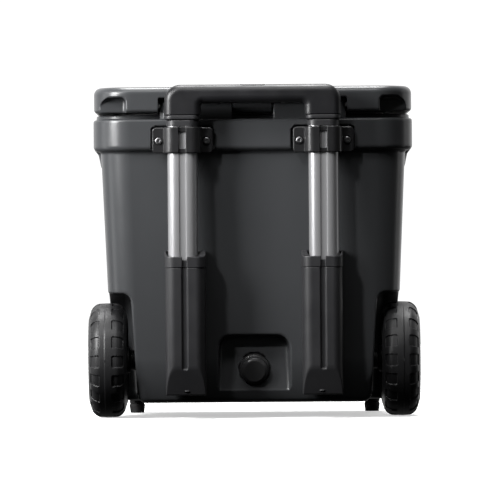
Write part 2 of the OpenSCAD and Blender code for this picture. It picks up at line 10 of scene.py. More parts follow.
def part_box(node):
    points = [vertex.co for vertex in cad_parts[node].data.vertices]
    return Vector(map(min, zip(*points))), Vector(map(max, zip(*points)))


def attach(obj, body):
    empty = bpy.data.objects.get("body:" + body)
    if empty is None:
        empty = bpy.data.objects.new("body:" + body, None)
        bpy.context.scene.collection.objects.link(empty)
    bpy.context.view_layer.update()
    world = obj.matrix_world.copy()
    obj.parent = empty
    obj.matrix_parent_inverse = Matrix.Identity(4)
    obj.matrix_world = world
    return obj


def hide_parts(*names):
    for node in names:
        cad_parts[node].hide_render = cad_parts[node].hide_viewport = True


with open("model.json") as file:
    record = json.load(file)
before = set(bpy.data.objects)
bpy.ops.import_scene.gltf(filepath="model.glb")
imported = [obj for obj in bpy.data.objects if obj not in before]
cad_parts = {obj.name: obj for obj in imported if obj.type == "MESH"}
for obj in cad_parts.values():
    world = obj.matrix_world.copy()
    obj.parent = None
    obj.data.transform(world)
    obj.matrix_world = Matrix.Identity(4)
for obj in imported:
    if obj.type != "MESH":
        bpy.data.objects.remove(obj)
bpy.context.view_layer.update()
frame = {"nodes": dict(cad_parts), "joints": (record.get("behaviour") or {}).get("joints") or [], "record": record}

MM = 0.001
FLOOR_Z = -0.5 * MM


# ---- sizes from the frame


def corners(node):
    """Lowest and highest corner of a CAD node as arrays."""
    low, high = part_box(node)
    return np.array(low), np.array(high)


SHELL_LOW, SHELL_HIGH = corners("body_shell")
LID_LOW, LID_HIGH = corners("lid_shell")
GASKET_LOW, GASKET_HIGH = corners("lid_gasket")
BLOCK_LOW, BLOCK_HIGH = corners("hinge_block_right")
GRIP_LOW, GRIP_HIGH = corners("grip")
RODS_LOW, RODS_HIGH = corners("hinge_rods")
SPACER_LOW, SPACER_HIGH = corners("spacer_right")
TYRE_LOW, TYRE_HIGH = corners("tyre_right")
HUB_LOW, HUB_HIGH = corners("hub_right")
AXLE_LOW, AXLE_HIGH = corners("axle_right")
CAP_LOW, CAP_HIGH = corners("axle_cap_right")
COLLAR_LOW, COLLAR_HIGH = corners("collar_right")
SOCKET_LOW, SOCKET_HIGH = corners("socket_right")
RING_LOW, RING_HIGH = corners("socket_ring_right")
RAIL_LOW, RAIL_HIGH = corners("rail_right")
NECK_LOW, NECK_HIGH = corners("neck_right")
MID_LOW, MID_HIGH = corners("mid_tube_right")
INNER_LOW, INNER_HIGH = corners("inner_tube_right")
BUSH_LOW, BUSH_HIGH = corners("mid_bush_right")
LATCH_LOW, LATCH_HIGH = corners("latch_right")
FOOT_LOW, FOOT_HIGH = corners("feet")
BUTTON_LOW, BUTTON_HIGH = corners("release_button")

JOINT = {j["name"]: j for j in frame["joints"]}

RIM_HALF_X = SHELL_HIGH[0] + 1.5 * MM
RIM_HALF_Y = (SHELL_HIGH[1] - SHELL_LOW[1]) / 2
BODY_Y = (SHELL_HIGH[1] + SHELL_LOW[1]) / 2
RIM_BACK = SHELL_LOW[1]
RIM_FRONT = SHELL_HIGH[1]
BOTTOM_Z = SHELL_LOW[2]
RIM_TOP = GASKET_LOW[2] - 5.3 * MM
RIM_BOTTOM = RIM_TOP - 47 * MM
RIM_R = 57 * MM
STEP = 11 * MM
DRAFT = 16 * MM
LIP_TOP = RIM_TOP + 7 * MM

_, HINGE_Y, HINGE_Z = (RODS_LOW + RODS_HIGH) / 2
HINGE_R = 10 * MM
BLOCK_X0 = 31 * MM
BLOCK_X1 = 139 * MM
LID_BASE = LID_LOW[2] + 26 * MM
LATCH_PIVOT = JOINT["latch_right_hinge"]["pos_m"]
LATCH_HALF = (LATCH_HIGH[0] - LATCH_LOW[0]) / 2

_, AXLE_Y, AXLE_Z = (AXLE_LOW + AXLE_HIGH) / 2
ARCH_R = 101 * MM
TYRE_X = (TYRE_LOW[0] + TYRE_HIGH[0]) / 2
TYRE_R = TYRE_HIGH[2] - AXLE_Z
HUB_R = HUB_HIGH[2] - AXLE_Z

TUBE_X, TUBE_Y, _ = (RAIL_LOW + RAIL_HIGH) / 2
RAIL_W, RAIL_D, _ = RAIL_HIGH - RAIL_LOW
MID_W, MID_D, _ = MID_HIGH - MID_LOW
INNER_W, INNER_D, _ = INNER_HIGH - INNER_LOW
TUBE_WALL = 1.8 * MM

COLLAR_Z = (COLLAR_LOW[2] + COLLAR_HIGH[2]) / 2
COLLAR_HALF_Z = (COLLAR_HIGH[2] - COLLAR_LOW[2]) / 2
SCREW_Z = 414 * MM
SCREW_DX = 36 * MM
SOCKET_FRONT = SOCKET_LOW[1] - 2 * MM
TROUGH_DEPTH = RAIL_LOW[1] - SOCKET_FRONT - 2.2 * MM

GRIP_Y = (GRIP_LOW[1] + GRIP_HIGH[1]) / 2
GRIP_HALF_Y = (GRIP_HIGH[1] - GRIP_LOW[1]) / 2
GRIP_RISE = 0.5 * MM
GRIP_ROUNDING = 11.5 * MM
BAR_LOW = GRIP_HIGH[2] - 27 * MM
GRIP_SCREW_X = 45 * MM
BUTTON_Y = (BUTTON_LOW[1] + BUTTON_HIGH[1]) / 2
BUTTON_HALF_X, BUTTON_HALF_Y, _ = (BUTTON_HIGH - BUTTON_LOW) / 2

FOOT_R = (FOOT_HIGH[1] - FOOT_LOW[1]) / 2
FOOT_X = FOOT_HIGH[0] - FOOT_R
FOOT_Y = (FOOT_LOW[1] + FOOT_HIGH[1]) / 2

DRAIN_POINT = Vector(JOINT["drain_turn"]["pos_m"])
DRAIN_AXIS = Vector(JOINT["drain_turn"]["axis"]).normalized()


# ---- signed distances


def hypot0(a, b):
    """Length of the positive parts of two distances."""
    return np.hypot(np.maximum(a, 0), np.maximum(b, 0))


def both(a, b, r=0.0):
    """Where both shapes are, with the new edge rounded to r."""
    return np.minimum(-r, np.maximum(a, b)) + hypot0(r + a, r + b)


def either(a, b, r=0.0):
    """Where either shape is, with the new inner corner filled to r."""
    return -both(-a, -b, r)


def cut(a, b, r=0.0):
    """Shape a without shape b, with the new edge rounded to r."""
    return both(a, -b, r)


def band(v, low, high):
    """Distance to the slab between two values of one coordinate."""
    return np.abs(v - (low + high) / 2) - (high - low) / 2


def plate(u, v, half_u, half_v, r):
    """Rounded rectangle in a plane."""
    a = np.abs(u) - half_u + r
    b = np.abs(v) - half_v + r
    return hypot0(a, b) + np.minimum(np.maximum(a, b), 0) - r


def disc(u, v, r):
    return np.hypot(u, v) - r


def oval(u, v, width, depth):
    """Bar with half-round ends, lying along u."""
    return disc(np.maximum(np.abs(u) - (width - depth) / 2, 0), v, depth / 2)


def smooth(v, low, high):
    """0 below low, 1 above high, with an even ramp between."""
    t = np.clip((v - low) / (high - low), 0, 1)
    return t * t * (3 - 2 * t)


# ---- meshes from distances


def sampled(shape, axes):
    """The shape's distance at every grid point, worked in slabs along the first axis."""
    ny, nz = len(axes[1]), len(axes[2])
    out = np.empty((len(axes[0]), ny, nz), np.float32)
    y, z = np.meshgrid(axes[1], axes[2], indexing="ij")
    for i in range(0, len(axes[0]), 8):
        x = axes[0][i : i + 8, None, None]
        out[i : i + 8] = shape(np.broadcast_to(x, (len(x), ny, nz)), y[None], z[None])
    return out


def net(values, axes):
    """Surface net: one point for each grid cell that the surface crosses, joined into quads."""
    inside = values < 0
    n = np.array(values.shape) - 1
    count = sum(
        inside[i : n[0] + i, j : n[1] + j, k : n[2] + k].astype(np.int8)
        for i, j, k in itertools.product((0, 1), repeat=3)
    )
    cells = np.argwhere((count > 0) & (count < 8))
    index = np.full(tuple(n), -1, np.int64)
    index[tuple(cells.T)] = np.arange(len(cells))
    total = np.zeros((len(cells), 3))
    hits = np.zeros(len(cells))
    for axis in range(3):
        unit = np.eye(3, dtype=int)[axis]
        for shift in itertools.product((0, 1), repeat=2):
            start = cells + np.insert(np.array(shift), axis, 0)
            end = start + unit
            f0 = values[tuple(start.T)].astype(float)
            f1 = values[tuple(end.T)].astype(float)
            crossed = (f0 < 0) != (f1 < 0)
            t = f0[crossed] / (f0[crossed] - f1[crossed])
            total[crossed] += start[crossed] + t[:, None] * unit
            hits[crossed] += 1
    step = np.array([a[1] - a[0] for a in axes])
    points = total / hits[:, None] * step + np.array([a[0] for a in axes])
    quads = []
    for axis in range(3):
        u, v = [k for k in range(3) if k != axis]
        low = np.take(inside, range(n[axis]), axis)
        high = np.take(inside, range(1, n[axis] + 1), axis)
        edges = np.argwhere(low != high)
        edges = edges[(edges[:, u] > 0) & (edges[:, v] > 0) & (edges[:, u] < n[u]) & (edges[:, v] < n[v])]
        ring = []
        for du, dv in ((1, 1), (0, 1), (0, 0), (1, 0)):
            cell = edges.copy()
            cell[:, u] -= du
            cell[:, v] -= dv
            ring.append(index[tuple(cell.T)])
        quad = np.stack(ring, 1)
        flip = low[tuple(edges.T)] == (axis == 1)
        quad[flip] = quad[flip][:, ::-1]
        quads.append(quad)
    return points, np.concatenate(quads)


def slope(shape, p, eps):
    """Distance and its gradient at points p."""
    grad = np.empty_like(p)
    for k in range(3):
        step = np.zeros(3)
        step[k] = eps
        grad[:, k] = (shape(*(p + step).T) - shape(*(p - step).T)) / (2 * eps)
    return shape(*p.T), grad


def settle(shape, p, cell, rounds):
    """Moves points onto the surface along the gradient, by at most one cell."""
    start = p.copy()
    for _ in range(rounds):
        d, g = slope(shape, p, cell * 0.02)
        p = p - g * (d / np.maximum((g * g).sum(1), 0.05))[:, None]
        move = p - start
        far = np.linalg.norm(move, axis=1)
        p = start + move * np.minimum(1, cell / np.maximum(far, 1e-9))[:, None]
    return p


def new_object(name, points, faces):
    """A new mesh object from its points and faces."""
    mesh = bpy.data.meshes.new(name)
    mesh.from_pydata([tuple(p) for p in points], [], [tuple(f) for f in faces])
    mesh.update()
    piece = bpy.data.objects.new(name, mesh)
    bpy.context.scene.collection.objects.link(piece)
    return piece


def applied(piece, kind, **settings):
    """Applies one modifier to the piece's mesh."""
    modifier = piece.modifiers.new(kind, kind)
    for key, value in settings.items():
        setattr(modifier, key, value)
    graph = bpy.context.evaluated_depsgraph_get()
    mesh = bpy.data.meshes.new_from_object(piece.evaluated_get(graph))
    piece.modifiers.clear()
    old = piece.data
    piece.data = mesh
    bpy.data.meshes.remove(old)
    return piece


def points_of(mesh):
    """The mesh's points as an array."""
    flat = np.empty(len(mesh.vertices) * 3, np.float64)
    mesh.vertices.foreach_get("co", flat)
    return flat.reshape(-1, 3)


def normals_of(mesh):
    """The normal at each corner of each face."""
    flat = np.empty(len(mesh.loops) * 3, np.float32)
    mesh.corner_normals.foreach_get("vector", flat)
    return flat.reshape(-1, 3)


def compact(points, quads):
    """Leaves out the points that no face uses."""
    used = np.unique(quads)
    renumber = np.zeros(len(points), int)
    renumber[used] = np.arange(len(used))
    return points[used], renumber[quads]


def moulded(name, shape, low, high, cell, keep=1.0, halves=False):
    """A piece whose surface is where the shape's distance is 0, between two corners.

    With halves, the shape is even in x: only x >= 0 is worked out and the rest is its mirror image.
    keep is the share of triangles that stay after the flat parts are thinned out.
    """
    low = np.array(low, float) - 2 * cell
    high = np.array(high, float) + 2 * cell
    if halves:
        low[0] = -1.5 * cell
    axes = [np.arange(a, b + cell, cell) for a, b in zip(low, high)]
    points, quads = net(sampled(shape, axes), axes)
    if halves:
        right = (points[quads][:, :, 0] > -0.25 * cell).all(1)
        points, quads = compact(points, quads[right])
        middle = points[:, 0] < 0.6 * cell
        points[middle, 0] = 0
        mirror = points * (-1, 1, 1)
        other = np.where(middle, np.arange(len(points)), np.arange(len(points)) + len(points))
        points = np.concatenate([points, mirror])
        points, quads = compact(points, np.concatenate([quads, other[quads][:, ::-1]]))
    points = settle(shape, points, cell, 3)
    piece = new_object(name, points, quads)
    if keep < 1:
        applied(piece, "DECIMATE", ratio=keep)
    points = settle(shape, points_of(piece.data), cell, 2)
    piece.data.vertices.foreach_set("co", points.ravel())
    set_normals(piece, shape, points, cell)
    return piece


def set_normals(piece, shape, points, cell):
    """Smooth shading from the shape's own gradient."""
    _, grad = slope(shape, points, cell * 0.05)
    grad /= np.maximum(np.linalg.norm(grad, axis=1), 1e-9)[:, None]
    piece.data.shade_smooth()
    piece.data.normals_split_custom_set_from_vertices(grad.tolist())
    piece.data.update()


def mirrored(piece, name):
    """A left-hand copy of a right-hand piece."""
    points = points_of(piece.data) * (-1, 1, 1)
    faces = [tuple(reversed(p.vertices)) for p in piece.data.polygons]
    twin = new_object(name, points, faces)
    normals = normals_of(piece.data) * (-1, 1, 1)
    order = []
    for p in piece.data.polygons:
        order.extend(reversed(p.loop_indices))
    twin.data.shade_smooth()
    twin.data.normals_split_custom_set(normals[order].tolist())
    return twin


# ---- materials


RANGE_INPUTS = ("From Min", "From Max", "To Min", "To Max")


class Nodes:
    """Short calls for building one node material."""

    def __init__(self, name):
        self.material = bpy.data.materials.new(name)
        self.material.use_nodes = True
        self.tree = self.material.node_tree
        self.shader = self.tree.nodes["Principled BSDF"]
        coords = self.add("ShaderNodeTexCoord")
        self.place = coords.outputs["Object"]

    def add(self, kind, **settings):
        node = self.tree.nodes.new(kind)
        for key, value in settings.items():
            setattr(node, key, value)
        return node

    def link(self, source, target):
        self.tree.links.new(source, target)

    def feed(self, socket, source):
        self.link(source, self.shader.inputs[socket])

    def scaled(self, x, y, z):
        mapping = self.add("ShaderNodeMapping")
        mapping.inputs["Scale"].default_value = (x, y, z)
        self.link(self.place, mapping.inputs["Vector"])
        return mapping.outputs["Vector"]

    def noise(self, scale, detail=4.0, rough=0.5, vector=None):
        node = self.add("ShaderNodeTexNoise")
        node.inputs["Scale"].default_value = scale
        node.inputs["Detail"].default_value = detail
        node.inputs["Roughness"].default_value = rough
        self.link(vector or self.place, node.inputs["Vector"])
        return node.outputs["Fac"]

    def ramp(self, value, low, high, start, end):
        """Value from low..high mapped to start..end."""
        node = self.add("ShaderNodeMapRange")
        for key, number in zip(RANGE_INPUTS, (low, high, start, end)):
            node.inputs[key].default_value = number
        self.link(value, node.inputs["Value"])
        return node.outputs["Result"]

    def blend(self, fac, dark, light):
        """Colour between two, by a 0..1 value."""
        node = self.add("ShaderNodeMix", data_type="RGBA")
        colours = [s for s in node.inputs if s.type == "RGBA"]
        colours[0].default_value = (*dark, 1)
        colours[1].default_value = (*light, 1)
        self.link(fac, node.inputs["Factor"])
        return [s for s in node.outputs if s.type == "RGBA"][0]

    def bump(self, height, strength, distance, after=None):
        node = self.add("ShaderNodeBump")
        node.inputs["Strength"].default_value = strength
        node.inputs["Distance"].default_value = distance
        self.link(height, node.inputs["Height"])
        if after is not None:
            self.link(after, node.inputs["Normal"])
        return node.outputs["Normal"]


def moulded_plastic(name, dark, light, rough, grain=900.0, relief=0.00004, spread=0.06):
    """Moulded plastic: mottled colour, uneven gloss and a fine grain."""
    n = Nodes(name)
    mottle = n.noise(9.0, 5.0, 0.6)
    n.feed("Base Color", n.blend(n.ramp(mottle, 0.3, 0.7, 0, 1), dark, light))
    n.feed("Roughness", n.ramp(n.noise(35.0, 3.0), 0.3, 0.7, rough - spread, rough + spread))
    n.feed("Normal", n.bump(n.noise(grain, 2.0), 1.0, relief))
    return n.material


def brushed_aluminium(name, dark, light, rough):
    """Drawn, anodised aluminium: streaks along z in colour, gloss and relief."""
    n = Nodes(name)
    streak = n.noise(1.0, 6.0, 0.7, n.scaled(1400, 1400, 3))
    broad = n.noise(1.0, 3.0, 0.5, n.scaled(160, 160, 2))
    n.feed("Base Color", n.blend(n.ramp(streak, 0.25, 0.75, 0, 1), dark, light))
    n.feed("Roughness", n.ramp(broad, 0.3, 0.7, rough - 0.02, rough + 0.02))
    n.feed("Normal", n.bump(streak, 0.2, 0.000003))
    n.shader.inputs["Metallic"].default_value = 0.6
    return n.material


def turned_steel(name, colour, rough):
    """Plain steel with faint mottling."""
    n = Nodes(name)
    fleck = n.noise(260.0, 4.0)
    dark = [c * 0.85 for c in colour]
    n.feed("Base Color", n.blend(n.ramp(fleck, 0.3, 0.7, 0, 1), dark, colour))
    n.feed("Roughness", n.ramp(fleck, 0.3, 0.7, rough - 0.06, rough + 0.08))
    n.feed("Normal", n.bump(n.noise(700.0, 2.0), 0.5, 0.00002))
    n.shader.inputs["Metallic"].default_value = 1.0
    return n.material


def rubber(name, dark, light, rough):
    """Rubber or tyre tread: fine pores and dusty patches."""
    n = Nodes(name)
    patch = n.noise(18.0, 6.0, 0.65)
    n.feed("Base Color", n.blend(n.ramp(patch, 0.35, 0.7, 0, 1), dark, light))
    n.feed("Roughness", n.ramp(patch, 0.3, 0.7, rough - 0.07, rough + 0.07))
    pores = n.bump(n.noise(1300.0, 2.0), 1.0, 0.00006)
    n.feed("Normal", n.bump(n.noise(90.0, 3.0), 1.0, 0.00008, pores))
    return n.material


def foam_material(name):
    """Cut foam: pale, with open cells."""
    n = Nodes(name)
    cells = n.noise(420.0, 5.0, 0.7)
    n.feed("Base Color", n.blend(cells, (0.62, 0.54, 0.36), (0.86, 0.80, 0.64)))
    n.feed("Roughness", n.ramp(cells, 0.3, 0.7, 0.85, 0.98))
    n.feed("Normal", n.bump(cells, 1.0, 0.0004))
    return n.material


MATERIAL = {
    "shell": moulded_plastic("shell_plastic", (0.050, 0.052, 0.055), (0.054, 0.056, 0.059), 0.30,
        relief=0.00001, spread=0.02),
    "bracket": moulded_plastic("bracket_plastic", (0.022, 0.022, 0.024), (0.029, 0.029, 0.031), 0.43,
        grain=1100.0, relief=0.00002),
    "grip": moulded_plastic("grip_plastic", (0.009, 0.009, 0.010), (0.014, 0.014, 0.016), 0.42,
        grain=1300.0, relief=0.00006),
    "latch": moulded_plastic("latch_plastic", (0.010, 0.010, 0.011), (0.016, 0.016, 0.018), 0.40),
    "button": moulded_plastic("button_plastic", (0.006, 0.006, 0.007), (0.010, 0.010, 0.011), 0.30),
    "collar": moulded_plastic("collar_plastic", (0.013, 0.013, 0.014), (0.018, 0.018, 0.019), 0.34),
    "drain": moulded_plastic("drain_plastic", (0.030, 0.030, 0.031), (0.036, 0.036, 0.037), 0.20),
    "hub": moulded_plastic("hub_plastic", (0.012, 0.012, 0.013), (0.018, 0.018, 0.020), 0.42),
    "glide": moulded_plastic("glide_plastic", (0.014, 0.014, 0.015), (0.020, 0.020, 0.022), 0.50),
    "rail": brushed_aluminium("drawn_aluminium", (0.40, 0.40, 0.41), (0.47, 0.47, 0.48), 0.34),
    "steel": turned_steel("turned_steel", (0.80, 0.80, 0.81), 0.42),
    "dark_screw": turned_steel("dark_steel", (0.42, 0.42, 0.43), 0.32),
    "tyre": rubber("tyre_rubber", (0.013, 0.013, 0.014), (0.018, 0.018, 0.019), 0.46),
    "seal": rubber("seal_rubber", (0.006, 0.006, 0.006), (0.010, 0.010, 0.010), 0.60),
    "gasket": rubber("gasket_rubber", (0.12, 0.12, 0.125), (0.17, 0.17, 0.175), 0.55),
    "foot": rubber("foot_rubber", (0.010, 0.010, 0.010), (0.017, 0.017, 0.018), 0.65),
    "foam": foam_material("foam"),
}


def dress(piece, look):
    """Gives a piece one of the materials above."""
    piece.data.materials.clear()
    piece.data.materials.append(MATERIAL[look])


def place(piece, slot, body, node):
    """Finishes a new piece: material, slot, the CAD node it stands for, and the body it rides on."""
    dress(piece, slot)
    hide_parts(node)
    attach(piece, body)


def whole(name, shape, low, high, cell, keep, slot, body, node):
    """A piece that is even in x, for one CAD node."""
    place(moulded(name, shape, low, high, cell, keep, halves=True), slot, body, node)


def pair(name, shape, low, high, cell, slot, body="cooler", keep=0.5):
    """A right-hand piece and its mirror image, for the CAD nodes NAME_right and NAME_left.

    A brace pair in the body's name stands for the side.
    """
    right = moulded(name + "_right_piece", shape, low, high, cell, keep)
    left = mirrored(right, name + "_left_piece")
    for piece, side in ((right, "right"), (left, "left")):
        place(piece, slot, body.format(side), name + "_" + side)
    return right, left


# every CAD node gets its slot's material; those that a piece replaces are hidden
for entry in frame["record"]["subparts"]:
    dress(frame["nodes"][entry["node"]], entry["material_slot"])


# ---- body


def wall(x, y, z):
    """The drafted side wall, without top or bottom."""
    lean = DRAFT * np.clip((RIM_BOTTOM - z) / (RIM_BOTTOM - BOTTOM_Z), 0, 1)
    half_x = RIM_HALF_X - STEP - lean
    half_y = RIM_HALF_Y - STEP - lean
    return plate(x, y - BODY_Y, half_x, half_y, RIM_R - STEP - lean * 0.4)


def tub(x, y, z):
    """The inside: wide above the wheel arches, narrow between them, wide again in front."""
    floor_z = 62 * MM
    shelf_z = 226 * MM
    step_y = 46 * MM
    corner = 40 * MM
    rounding = 16 * MM
    lean = 6 * MM * np.clip((RIM_TOP - z) / (RIM_TOP - floor_z), 0, 1)
    upper = plate(x, y - BODY_Y, 186 * MM - lean, 144 * MM - lean, corner)
    upper = both(upper, shelf_z - z, rounding)
    back = -112 * MM + lean
    front = BODY_Y + 144 * MM - lean
    middle = plate(x, y - (back + front) / 2, 138 * MM - lean, (front - back) / 2, corner)
    fore = plate(x, y - (step_y + front) / 2, 178 * MM - lean, (front - step_y) / 2, corner)
    lower = both(either(middle, fore, 14 * MM), floor_z - z, rounding)
    lower = both(lower, z - shelf_z - 30 * MM)
    return either(upper, lower, 12 * MM)


def arch(x, y, z):
    """Space for one wheel: round in front of the axle, open to the back, the side and below."""
    roof = disc(y - AXLE_Y, z - AXLE_Z, ARCH_R)
    behind = np.maximum(y - AXLE_Y, z - AXLE_Z - ARCH_R)
    below = np.maximum(y - AXLE_Y - ARCH_R, z - AXLE_Z)
    outline = np.minimum(np.minimum(roof, behind), below)
    # the inner side leans with the wall
    inner = 176 * MM + (z - 37 * MM) * 8 / 135
    return both(outline, inner - np.abs(x), 13 * MM)


def drain_recess(x, y, z):
    """Pocket around the drain: sides that lean in, and a floor that slopes out to the sill."""
    deep_y = -135 * MM
    top = 121 * MM
    sill = 40.5 * MM
    ramp = math.radians(14)
    depth = np.clip((deep_y - y) / (30 * MM), 0, 1)
    half_x = (50 + 4 * depth) * MM + 2 * MM * smooth(-z, -top, -sill)
    height = 200 * MM
    outline = plate(x, z - top - 3 * MM * depth + height / 2, half_x, height / 2, 19 * MM)
    bend_z = top - 26 * MM
    slanted = (y - deep_y) * math.cos(ramp) + (bend_z - z) * math.sin(ramp)
    floor = both(y - deep_y, slanted, 14 * MM)
    pocket = both(outline, floor, 6 * MM)
    return both(pocket, sill - z, 1 * MM)


def drain_depth(x, y, z):
    """Coordinates about the drain's own axis: along it, and the distance from it."""
    dy = y - DRAIN_POINT.y
    dz = z - DRAIN_POINT.z
    along = dy * DRAIN_AXIS.y + dz * DRAIN_AXIS.z
    across = dy * DRAIN_AXIS.z - dz * DRAIN_AXIS.y
    return along, np.hypot(x, across)


def body_shape(x, y, z):
    """The moulded body: wall, bevelled foot, rim and lip, less the tub, arches and recesses."""
    side = wall(x, y, z)
    # the wall's lowest 54 mm slopes inwards, 14 mm for each 32 mm down
    bevel = (32 * side + 14 * (54 * MM - z)) / 34.9
    form = both(side, bevel, 14 * MM)
    form = both(form, BOTTOM_Z - z, 7 * MM)
    form = both(form, z - RIM_TOP + 2 * MM)
    rim = plate(x, y - BODY_Y, RIM_HALF_X, RIM_HALF_Y, RIM_R)
    # steep chamfer along the rim's upper edge, facing 30 degrees above level
    chamfer = 0.866 * rim + 0.5 * (z - RIM_TOP + 2.4 * MM)
    rim = both(both(rim, z - RIM_TOP), chamfer, 0.6 * MM)
    rim = both(rim, RIM_BOTTOM - z, 7 * MM)
    form = either(form, rim, 5 * MM)
    # hand-hold under the rim on each side: the wall flares out to meet it
    flare = np.abs(x) - (RIM_HALF_X - 5 * MM - (RIM_BOTTOM - z) * 0.28)
    flare = both(flare, RIM_BOTTOM - 24 * MM - z, 4 * MM)
    flare = both(flare, band(y - BODY_Y, -110 * MM, 110 * MM), 8 * MM)
    flare = both(flare, z - RIM_BOTTOM - 10 * MM)
    form = either(form, flare, 6 * MM)
    lip = plate(x, y - BODY_Y, RIM_HALF_X - 4 * MM, 158 * MM, 50 * MM)
    lip = both(lip, z - LIP_TOP, 2 * MM)
    lip = both(lip, RIM_BOTTOM - z)
    form = either(form, lip, 2 * MM)
    # sunk seat around each handle bracket
    seat = plate(np.abs(x) - TUBE_X, z - COLLAR_Z, 47 * MM, COLLAR_HALF_Z + 2 * MM, 7 * MM)
    form = cut(form, both(seat, y - RIM_BACK - 3.5 * MM), 0.6 * MM)
    form = cut(form, tub(x, y, z), 2.5 * MM)
    # the arch's edge is rounder low down, and the recess has a crisp sill
    arch_edge = 3 * MM + 10 * MM * smooth(-z, -70 * MM, -45 * MM)
    form = cut(form, arch(x, y, z), arch_edge)
    recess_edge = 0.5 * MM + 2.5 * MM * smooth(z, 44 * MM, 60 * MM)
    form = cut(form, drain_recess(x, y, z), recess_edge)
    along, off = drain_depth(x, y, z)
    seat = both(off - 22.8 * MM, -5 * MM - along)
    hole = both(off - 15.05 * MM, -26 * MM - along)
    return cut(cut(form, seat), hole)


body_high = SHELL_HIGH + (2 * MM, 0, 2 * MM)
whole("cooler_body", body_shape, SHELL_LOW, body_high, 2.6 * MM, 0.42,
      "shell", "cooler", "body_shell")


def foam_shape(x, y, z):
    """Insulation inside the body's skin."""
    return body_shape(x, y, z) + 6 * MM


whole("body_foam_fill", foam_shape, SHELL_LOW, SHELL_HIGH, 6 * MM, 1, "foam", "cooler", "body_foam")


def hinge_block_shape(x, y, z):
    """Block with a round top for the hinge rod, its outer rear edge slanted."""
    form = plate(y - HINGE_Y, z - HINGE_Z + 20 * MM, HINGE_R, HINGE_R + 20 * MM, HINGE_R)
    form = both(form, band(x, BLOCK_LOW[0], BLOCK_HIGH[0]), 1.8 * MM)
    form = both(form, BLOCK_LOW[2] - z, 0.4 * MM)
    slant = (x - BLOCK_HIGH[0] - y + HINGE_Y - HINGE_R + 6 * MM) / math.sqrt(2)
    form = both(form, slant, 0.8 * MM)
    return cut(form, disc(y - HINGE_Y, z - HINGE_Z, 4.05 * MM))


pair("hinge_block", hinge_block_shape, BLOCK_LOW, BLOCK_HIGH, 1 * MM, "shell")


# ---- lid


def lid_shape(x, y, z):
    """The moulded lid with its plug, hinge rooms, finger pockets and latch lugs."""
    top = LID_HIGH[2] + 0.5 * MM
    mid_y = (RIM_FRONT + RIM_BACK) / 2
    form = plate(x, y - mid_y, RIM_HALF_X - 1 * MM, RIM_HALF_Y - 1 * MM, RIM_R)
    form = both(form, z - top, 11 * MM)
    form = both(form, LID_BASE - z, 5 * MM)
    # shallow panel in the top
    panel = plate(x, y - BODY_Y - 4 * MM, 196 * MM, 150 * MM, 34 * MM)
    form = cut(form, both(panel, top - 2.5 * MM - z, 1.2 * MM), 2.5 * MM)
    # plug that reaches into the tub
    plug = plate(x, y - BODY_Y, 180 * MM, 138 * MM, 34 * MM)
    plug = both(plug, band(z, LID_LOW[2], LID_BASE + 5 * MM), 5 * MM)
    form = either(form, plug, 2 * MM)
    # room for the hinge blocks, and the round knuckle between them
    u = np.abs(x)
    room = both(band(u, BLOCK_X0 - 2 * MM, BLOCK_X1 + 2 * MM), y - HINGE_Y - 14 * MM, 3 * MM)
    room = np.minimum(room, both(u - BLOCK_X0, y - HINGE_Y))
    room = both(room, z - HINGE_Z - HINGE_R - 0.8 * MM, 2.5 * MM)
    form = cut(form, room, 1.5 * MM)
    knuckle = both(disc(y - HINGE_Y, z - HINGE_Z, 10.5 * MM), u - BLOCK_X0 + 2 * MM, 1.5 * MM)
    form = either(form, knuckle, 2 * MM)
    # finger pockets in the rear corners
    pocket_top = 480 * MM - 9 * MM * smooth(u, 214 * MM, 232 * MM)
    pocket = both(band(u, 190 * MM, 232 * MM), z - pocket_top, 7 * MM)
    pocket = both(pocket, y - RIM_BACK - 27 * MM, 6 * MM)
    form = cut(form, pocket, 2.5 * MM)
    # lugs for the latches, with room for each latch between its two
    v = y - LATCH_PIVOT[1]
    w = z - LATCH_PIVOT[2]
    aside = np.abs(u - LATCH_PIVOT[0])
    lug = either(disc(v, w, 8 * MM), plate(v + 10 * MM, w, 10 * MM, 8 * MM, 1 * MM))
    lug = both(lug, band(aside, LATCH_HALF + 0.5 * MM, LATCH_HALF + 8.5 * MM), 1 * MM)
    form = either(form, lug, 2 * MM)
    bowl = both(disc(v, w, 9 * MM), aside - LATCH_HALF - 0.5 * MM)
    form = cut(form, bowl, 0.5 * MM)
    # bores for the hinge rods and the latch pins
    rod = disc(y - HINGE_Y, z - HINGE_Z, 4.1 * MM)
    form = cut(form, both(rod, u - 165 * MM))
    pin = both(disc(v, w, 3.05 * MM), aside - LATCH_HALF - 9 * MM)
    return cut(form, pin)


lid_high = LID_HIGH + (3 * MM, 0, 2 * MM)
whole("cooler_lid", lid_shape, LID_LOW, lid_high, 1.8 * MM, 0.45,
      "shell", "lid", "lid_shell")


# ---- latches


def latch_shape(x, y, z):
    """Latch: barrel round its pin, bowed cover with a thumb dish, and a pull tab below."""
    u = x - LATCH_PIVOT[0]
    v = y - LATCH_PIVOT[1]
    w = z - LATCH_PIVOT[2]
    half = LATCH_HALF
    low = LATCH_LOW[2] - LATCH_PIVOT[2]
    barrel = both(disc(v, w, 8 * MM), np.abs(u) - half, 1 * MM)
    swell = 1.5 * MM * (1 - (2 * w / low - 1) ** 2)
    cover = both(band(v, -1 * MM, 8 * MM + swell), plate(u, w - low / 2, half, -low / 2, 7 * MM), 1.6 * MM)
    form = either(barrel, cover, 3 * MM)
    tab = both(plate(u, w - low - 9 * MM, half - 6 * MM, 9 * MM, 5 * MM), band(v, 4 * MM, 12 * MM), 2 * MM)
    form = either(form, tab, 3 * MM)
    # long thumb dish in the face
    dish = both(plate(u, w + 30 * MM, half - 9 * MM, 16 * MM, 7 * MM), 6.5 * MM - v, 1 * MM)
    form = cut(form, dish, 1.5 * MM)
    form = both(form, v - 12 * MM)
    return cut(form, disc(v, w, 3.08 * MM))


